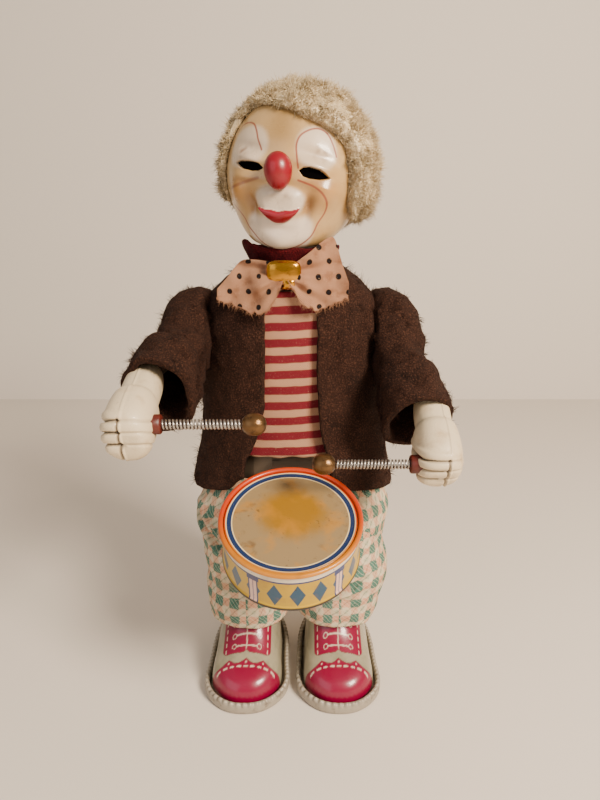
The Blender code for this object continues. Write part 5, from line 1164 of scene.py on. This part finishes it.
SKULL_HALF = (28.7, 26.5, 31.0)
CHIN_FORWARD = 6.0
CHIN_DROP = 5.8
HAIRLINE = (
    [-180, -130, -95, -74, -68, -64, -61, -56, -52, -35, -14, 5,
     21, 32.5, 44, 52.5, 56, 58, 62, 70, 95, 130, 180],
    [124, 122, 117, 113, 102, 74, 60, 48, 43, 42, 44.5, 49,
     55.5, 60, 65.5, 71, 86, 104, 112, 117, 119, 122, 124])
EYES = (
    ([-40, -36, -32, -23, -17, -13.6], [87.4, 86.5, 86.5, 87.0, 88.4, 91.0],
     [87.6, 89.8, 91.8, 93.3, 93.0, 91.4]),
    ([15.0, 18, 22.5, 30, 34, 38], [92.0, 89.9, 89.4, 90.8, 93.0, 95.8],
     [92.4, 95.8, 97.0, 97.4, 96.9, 96.0]),
)
LOOPS = (
    [(14, 90.5), (12.4, 82), (11.8, 74.5), (15, 68), (23, 63.5), (31, 62.5), (37.5, 65.5), (41.5, 72.5),
     (44, 81)],
    [(-16.5, 79), (-21, 72), (-25, 65.5), (-31, 60), (-40, 58), (-50, 60), (-57, 68)],
)
SMILE_LINE = [
    (14.5, 98.5), (21, 100.3), (27.5, 102.5), (33.5, 106.5), (38.5, 112.5), (39.5, 118.5),
    (36.5, 124.5), (35.0, 130), (31.0, 134), (21, 139), (5, 142), (-12, 140.5), (-22, 137),
    (-29, 132.5), (-36, 128), (-39, 123.5), (-46, 119), (-56, 115)]


def skull(polar, around, grow=0.0):
    """Skull surface in the head's frame: an ellipsoid, swollen at the cheeks, with a broad chin that
    comes forward and down. polar is degrees down from the crown, around is degrees from the face
    towards +X."""
    down, aside = np.radians(polar), np.radians(around)
    cheek = 2.0 * bell(polar, 104, 22) * bell(np.abs(around), 38, 24)
    chin = bell(polar, 138, 16) * np.clip(np.cos(aside), 0.0, 1.0)
    half_x, half_y, half_z = SKULL_HALF
    x = (half_x + grow + cheek) * np.sin(down) * np.sin(aside)
    y = -(half_y + grow + cheek + CHIN_FORWARD * chin) * np.sin(down) * np.cos(aside)
    z = half_z + (half_z + grow) * np.cos(down) - CHIN_DROP * chin
    return np.stack(np.broadcast_arrays(x, y, z), -1)


def near_line(around, polar, line):
    """Distance in mm on the face from a painted line given as (around, polar) degrees."""
    wide = 0.5 * np.sin(np.radians(polar))
    line = flowing(np.array(line, float), 90)
    nearest = np.full(around.shape, 1e9)
    for start, end in zip(line[:-1], line[1:]):
        du, dv = (end[0] - start[0]) * wide, (end[1] - start[1]) * 0.53
        u, v = (around - start[0]) * wide, (polar - start[1]) * 0.53
        t = np.clip((u * du + v * dv) / (du**2 + dv**2 + 1e-9), 0, 1)
        nearest = np.minimum(nearest, np.hypot(u - t * du, v - t * dv))
    return nearest


def within(around, polar, centre, half, power=2.4):
    """Distance like a superellipse's, 1 at its edge: less inside, more outside."""
    return (np.abs((around - centre[0]) / half[0]) ** power
            + np.abs((polar - centre[1]) / half[1]) ** power) ** (1 / power)


def slot_depth(around, polar, eye, soft):
    """1 inside an eye slot and 0 outside, with an edge `soft` degrees wide."""
    at, top, bottom = eye
    upper, lower = np.interp(around, at, top), np.interp(around, at, bottom)
    room = np.minimum(polar - upper, lower - polar)
    return s_curve(room, -soft, soft) * (around > at[0]) * (around < at[-1])


def lips(around, polar):
    """Height across the lips: 1 on their crest, 0 at the edge, below 0 outside."""
    span = np.clip(np.abs(around - 0.6) / 17.0, 0, 1.2)
    upper = 115.4 + 1.6 * (1 - span**1.6) - 0.5 * bell(np.abs(around - 0.6), 6.0, 4.0)
    lower = 116.2 + 8.4 * (1 - span**2.6)
    middle, half = (upper + lower) / 2, np.maximum((lower - upper) / 2, 0.05)
    return (1 - ((polar - middle) / half) ** 2) * (span < 1.0) - (span >= 1.0)


def head_grid():
    """Moulded head: the skull with lids, eye slots pressed in, a raised muzzle with a dimple at each
    side, lips and a chin, and its painted patches and lines, and painted shade in the eye slots, the
    dimples, under the nose and in a fold of the clown's right cheek."""
    polar = np.concatenate([np.linspace(1, 55, 22), np.linspace(56, 152, 250),
                            np.linspace(152.6, 161, 8)])[:, None]
    around = np.concatenate([np.linspace(-74, 74, 310), np.linspace(78, 282, 40)])[None, :]
    turned = np.where(around > 180, around - 360, around)
    polar, turned = np.broadcast_arrays(polar, turned)
    rise = np.zeros(polar.shape)
    dark = np.zeros(polar.shape)
    for eye in EYES:
        middle, level = np.mean(eye[0]), np.mean(eye[1])
        tilt = level + (turned - middle) * (eye[1][-2] - eye[1][1]) / (eye[0][-2] - eye[0][1])
        rise += 1.5 * bell(turned, middle, 13) * bell(polar, tilt - 3.2, 3.4)
        rise += 0.6 * bell(turned, middle, 12) * bell(polar, tilt + 9.5, 2.6)
        rise -= 0.8 * bell(turned, middle, 15) * bell(polar, tilt - 11, 4.0)
        # each slot is pressed in and painted black: painted shade of the hollow head behind it
        rise -= 3.0 * slot_depth(turned, polar, eye, 0.35)
        dark = np.maximum(dark, slot_depth(turned, polar, eye, 0.15))
    muzzle = within(turned, polar, (0.0, 112.5), (19.5, 9.5), 2.2)
    rise += 2.3 * s_curve(muzzle, 1.25, 0.55)
    rise += 1.0 * bell(turned, 0, 15) * bell(polar, 138, 9)
    for side in (-1, 1):
        rise += 1.6 * bell(turned * side, 37, 10) * bell(polar, 107, 9)
        rise -= 1.9 * bell(turned * side, 24.5, 4.5) * bell(polar, 116, 8)
    rise -= 0.9 * bell(turned, 0, 15) * bell(polar, 128.3, 2.4)
    mouth = lips(turned, polar)
    rise += 1.5 * np.sqrt(np.clip(mouth, 0, 1))
    paint = np.zeros((*polar.shape, 4))
    wash = 0.5 + 0.5 * wander(skull(polar, turned), 11.0, 71)
    speck = 0.5 + 0.5 * wander(skull(polar, turned), 3.0, 72)

    def lay(colour, amount):
        amount = np.clip(amount, 0, 1)[..., None]
        under = paint[..., 3:] * (1 - amount)
        mixed = paint[..., :3] * under + np.array(tint(*colour)) * amount
        paint[..., :3] = mixed / np.maximum(under + amount, 1e-6)
        paint[..., 3:] = under + amount

    lay((140, 108, 62), 0.75 * bell(turned, -2, 15) * s_curve(polar, 86, 66))
    for side in (-1, 1):
        a = turned * side
        lay((170, 116, 46), (0.55 + 0.3 * wash) * bell(a, 33, 14) * bell(polar, 106, 10))
        # dark brown in the muzzle's dimples: painted shade in the dents
        lay((116, 72, 36), 0.7 * bell(a, 25, 6) * bell(polar, 115, 8))
        lay((128, 78, 40), 0.5 * bell(a, 27, 14) * bell(polar, 99.5, 2.2))
        patch = within(a, polar, (28 + 4 * (side < 0), 76), (17 + 4 * (side < 0), 15.5), 2.2)
        lay((208, 190, 168), (0.72 + 0.2 * wash) * s_curve(patch, 1.12, 0.82))
        lay((120, 84, 58), 0.55 * speck * bell(a, 34, 8) * bell(polar, 80, 5))
    lay((212, 196, 176), (0.8 + 0.15 * wash) * s_curve(muzzle, 1.22, 0.9))
    lay((212, 194, 174), 0.92 * s_curve(within(turned, polar, (-1, 134), (37, 19.5), 2.4), 1.06, 0.86)
        * s_curve(polar, 119, 124))
    # mottled brown band just under the nose: painted shade
    lay((134, 104, 82), 0.35 * speck * bell(turned, 2, 14) * bell(polar, 108, 3))
    for line in (*LOOPS, SMILE_LINE):
        lay((132, 52, 34), 0.85 * s_curve(near_line(turned, polar, line), 0.5, 0.22))
    # dark line in the fold of the clown's right cheek, the side away from the light: painted shade
    lay((110, 50, 28), 0.6 * s_curve(near_line(turned, polar, [(-17, 98), (-28, 101), (-43, 105)]), 0.9, 0.2))
    lay((134, 0, 26), s_curve(mouth, -0.02, 0.14))
    # black in the eye slots: painted shade
    lay((4, 3, 3), dark)
    shape = skull(polar, turned)
    return shape + outward(shape) * rise[..., None], paint


def outward(points):
    """Unit direction out of the skull: from its middle, stretched as the ellipsoid is."""
    way = (points - (0, 0, SKULL_HALF[2])) / np.array(SKULL_HALF) ** 2
    return way / np.linalg.norm(way, axis=-1, keepdims=True)


grid, paint = head_grid()
face = skin("moulded_head", grid, "head_turn", "painted_vinyl", place=on_head, paint={"face": paint})
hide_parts("head")
# A black card behind each eye slot stands in for the shade inside the hollow head.
for number, eye in enumerate(EYES):
    ends, level = (eye[0][0] - 2, eye[0][-1] + 2), np.mean(eye[1])
    grid = skull(np.linspace(level - 4, level + 12, 12)[:, None], np.linspace(*ends, 16)[None, :], -1.3)
    card = skin(f"eye_shade_card_{number + 1}", grid, "head_turn", "black_card", wrap=False, place=on_head)
    thicken(card, 0.3)
    if number == 0:
        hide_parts("eye_backing")


def nose_grid():
    """Nose: a plain egg, taller than wide, pressed into the face."""
    t = np.linspace(0.02, np.pi - 0.02, 50)[:, None]
    angle = np.linspace(0, FULL_TURN, 80, endpoint=False)
    broad = 1.0 + 0.07 * np.cos(t)
    x = 5.3 * broad * np.sin(t) * np.sin(angle)
    y = -30.1 - 5.6 * broad * np.sin(t) * np.cos(angle)
    grid = np.stack([x, y, 6.9 * np.cos(t) + 0 * angle], -1)
    return turn(grid, "Y", -7.0) + (0.4, 0, 29.1)


nose = skin("glossy_nose", nose_grid(), "head_turn", "red_gloss", place=on_head)
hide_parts("nose")


def hair_depth(share, around):
    """How deep the cap stands over the skull: about 4 mm, more on the clown's left."""
    aside = np.sin(np.radians(around))
    return 3.7 * (1.0 + share * (0.5 * aside + 0.25 * aside**2))


def wig_grid():
    """Wig cap: over the skull from the crown to the hairline, softly bunched, then round the edge and
    back underneath close to the skull."""
    around = np.linspace(-180, 180, 240, endpoint=False)[None, :]
    limit = np.interp(around, *HAIRLINE)
    t = np.linspace(0.012, 1.0, 90)[:, None]
    deep = hair_depth(t, around) * (1 - 0.4 * s_curve(t, 0.88, 1.0) ** 2)
    grid = skull(t * limit, around)
    bunch = 0.35 * wander(grid, 12.0, 51) + 0.35 * wander(grid, 4.0, 52)
    top = grid + outward(grid) * (deep + bunch * s_curve(t, 0.0, 0.1))[..., None]
    back = np.linspace(1.0, 0.012, 24)[:, None]
    return top, skull(back * limit, around, 0.5)


top, under = wig_grid()
cap = skin("wig_cap", np.concatenate([top, under]), "head_turn", "cream_plush", place=on_head)
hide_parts("wig")


covered = np.concatenate([top, under[:4]])
for number, seed in enumerate((61, 62, 63)):
    pile(f"wig_pile_{number + 1}", covered, np.array([0, 0, SKULL_HALF[2]]), 12500, seed, (1.3, 2.9), 0.16,
         1.0, "head_turn", "cream_plush", on_head)


# Bare parts of the frame.

# The bare tin is darkened as painted shade.
BARE_PARTS = {
    "drum_bracket": "bare_tin",
    "winding_key": "steel",
    "body_base": "bare_tin",
    "body_shell_front": "bare_tin",
    "body_shell_back": "bare_tin",
    "leg_tube_left": "bare_tin",
    "leg_tube_right": "bare_tin",
}
for node, slot_name in BARE_PARTS.items():
    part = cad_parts[node]
    part.data.materials.clear()
    part.data.materials.append(look[slot_name])


# Camera, floor and light.


def add_light(name, place, aim, power, size, colour):
    """A square area lamp at a place, looking at a point."""
    lamp = bpy.data.lights.new(name, "AREA")
    lamp.energy, lamp.color = power, colour
    lamp.shape, lamp.size = "SQUARE", size
    made = bpy.data.objects.new(name, lamp)
    bpy.context.scene.collection.objects.link(made)
    made.location = place
    made.rotation_euler = (Vector(aim) - Vector(place)).to_track_quat("-Z", "Y").to_euler()


camera = bpy.data.objects.new("camera", bpy.data.cameras.new("camera"))
bpy.context.scene.collection.objects.link(camera)
camera.location = (0.0035, -0.2488, 0.205)
camera.rotation_euler = (np.radians(75.0), 0.0, 0.0)
camera.data.lens = 27.05
camera.data.sensor_width = 36.0
camera.data.clip_start = 0.01
bpy.context.scene.camera = camera

WALL_Y = 0.52
floor_mesh = bpy.data.meshes.new("floor")
corners = [(-3, -2, 0), (3, -2, 0), (3, WALL_Y, 0), (-3, WALL_Y, 0), (3, WALL_Y, 2), (-3, WALL_Y, 2)]
floor_mesh.from_pydata(corners, [], [(0, 1, 2, 3), (3, 2, 4, 5)])
floor = bpy.data.objects.new("floor", floor_mesh)
bpy.context.scene.collection.objects.link(floor)
floor_finish = Finish("pale_floor", tint(222, 212, 200), 0.85)
floor_mesh.materials.append(floor_finish.material)

world = bpy.data.worlds.new("studio")
world.use_nodes = True
world.node_tree.nodes["Background"].inputs[0].default_value = (*tint(232, 224, 214), 1)
world.node_tree.nodes["Background"].inputs[1].default_value = 0.5
bpy.context.scene.world = world
add_light("key_light", (0.5, -0.55, 0.62), (0, 0, 0.14), 19.0, 0.26, (1.0, 0.85, 0.68))
add_light("fill_light", (-0.7, -0.8, 0.5), (0, 0, 0.14), 3.0, 0.9, (0.94, 0.96, 1.0))
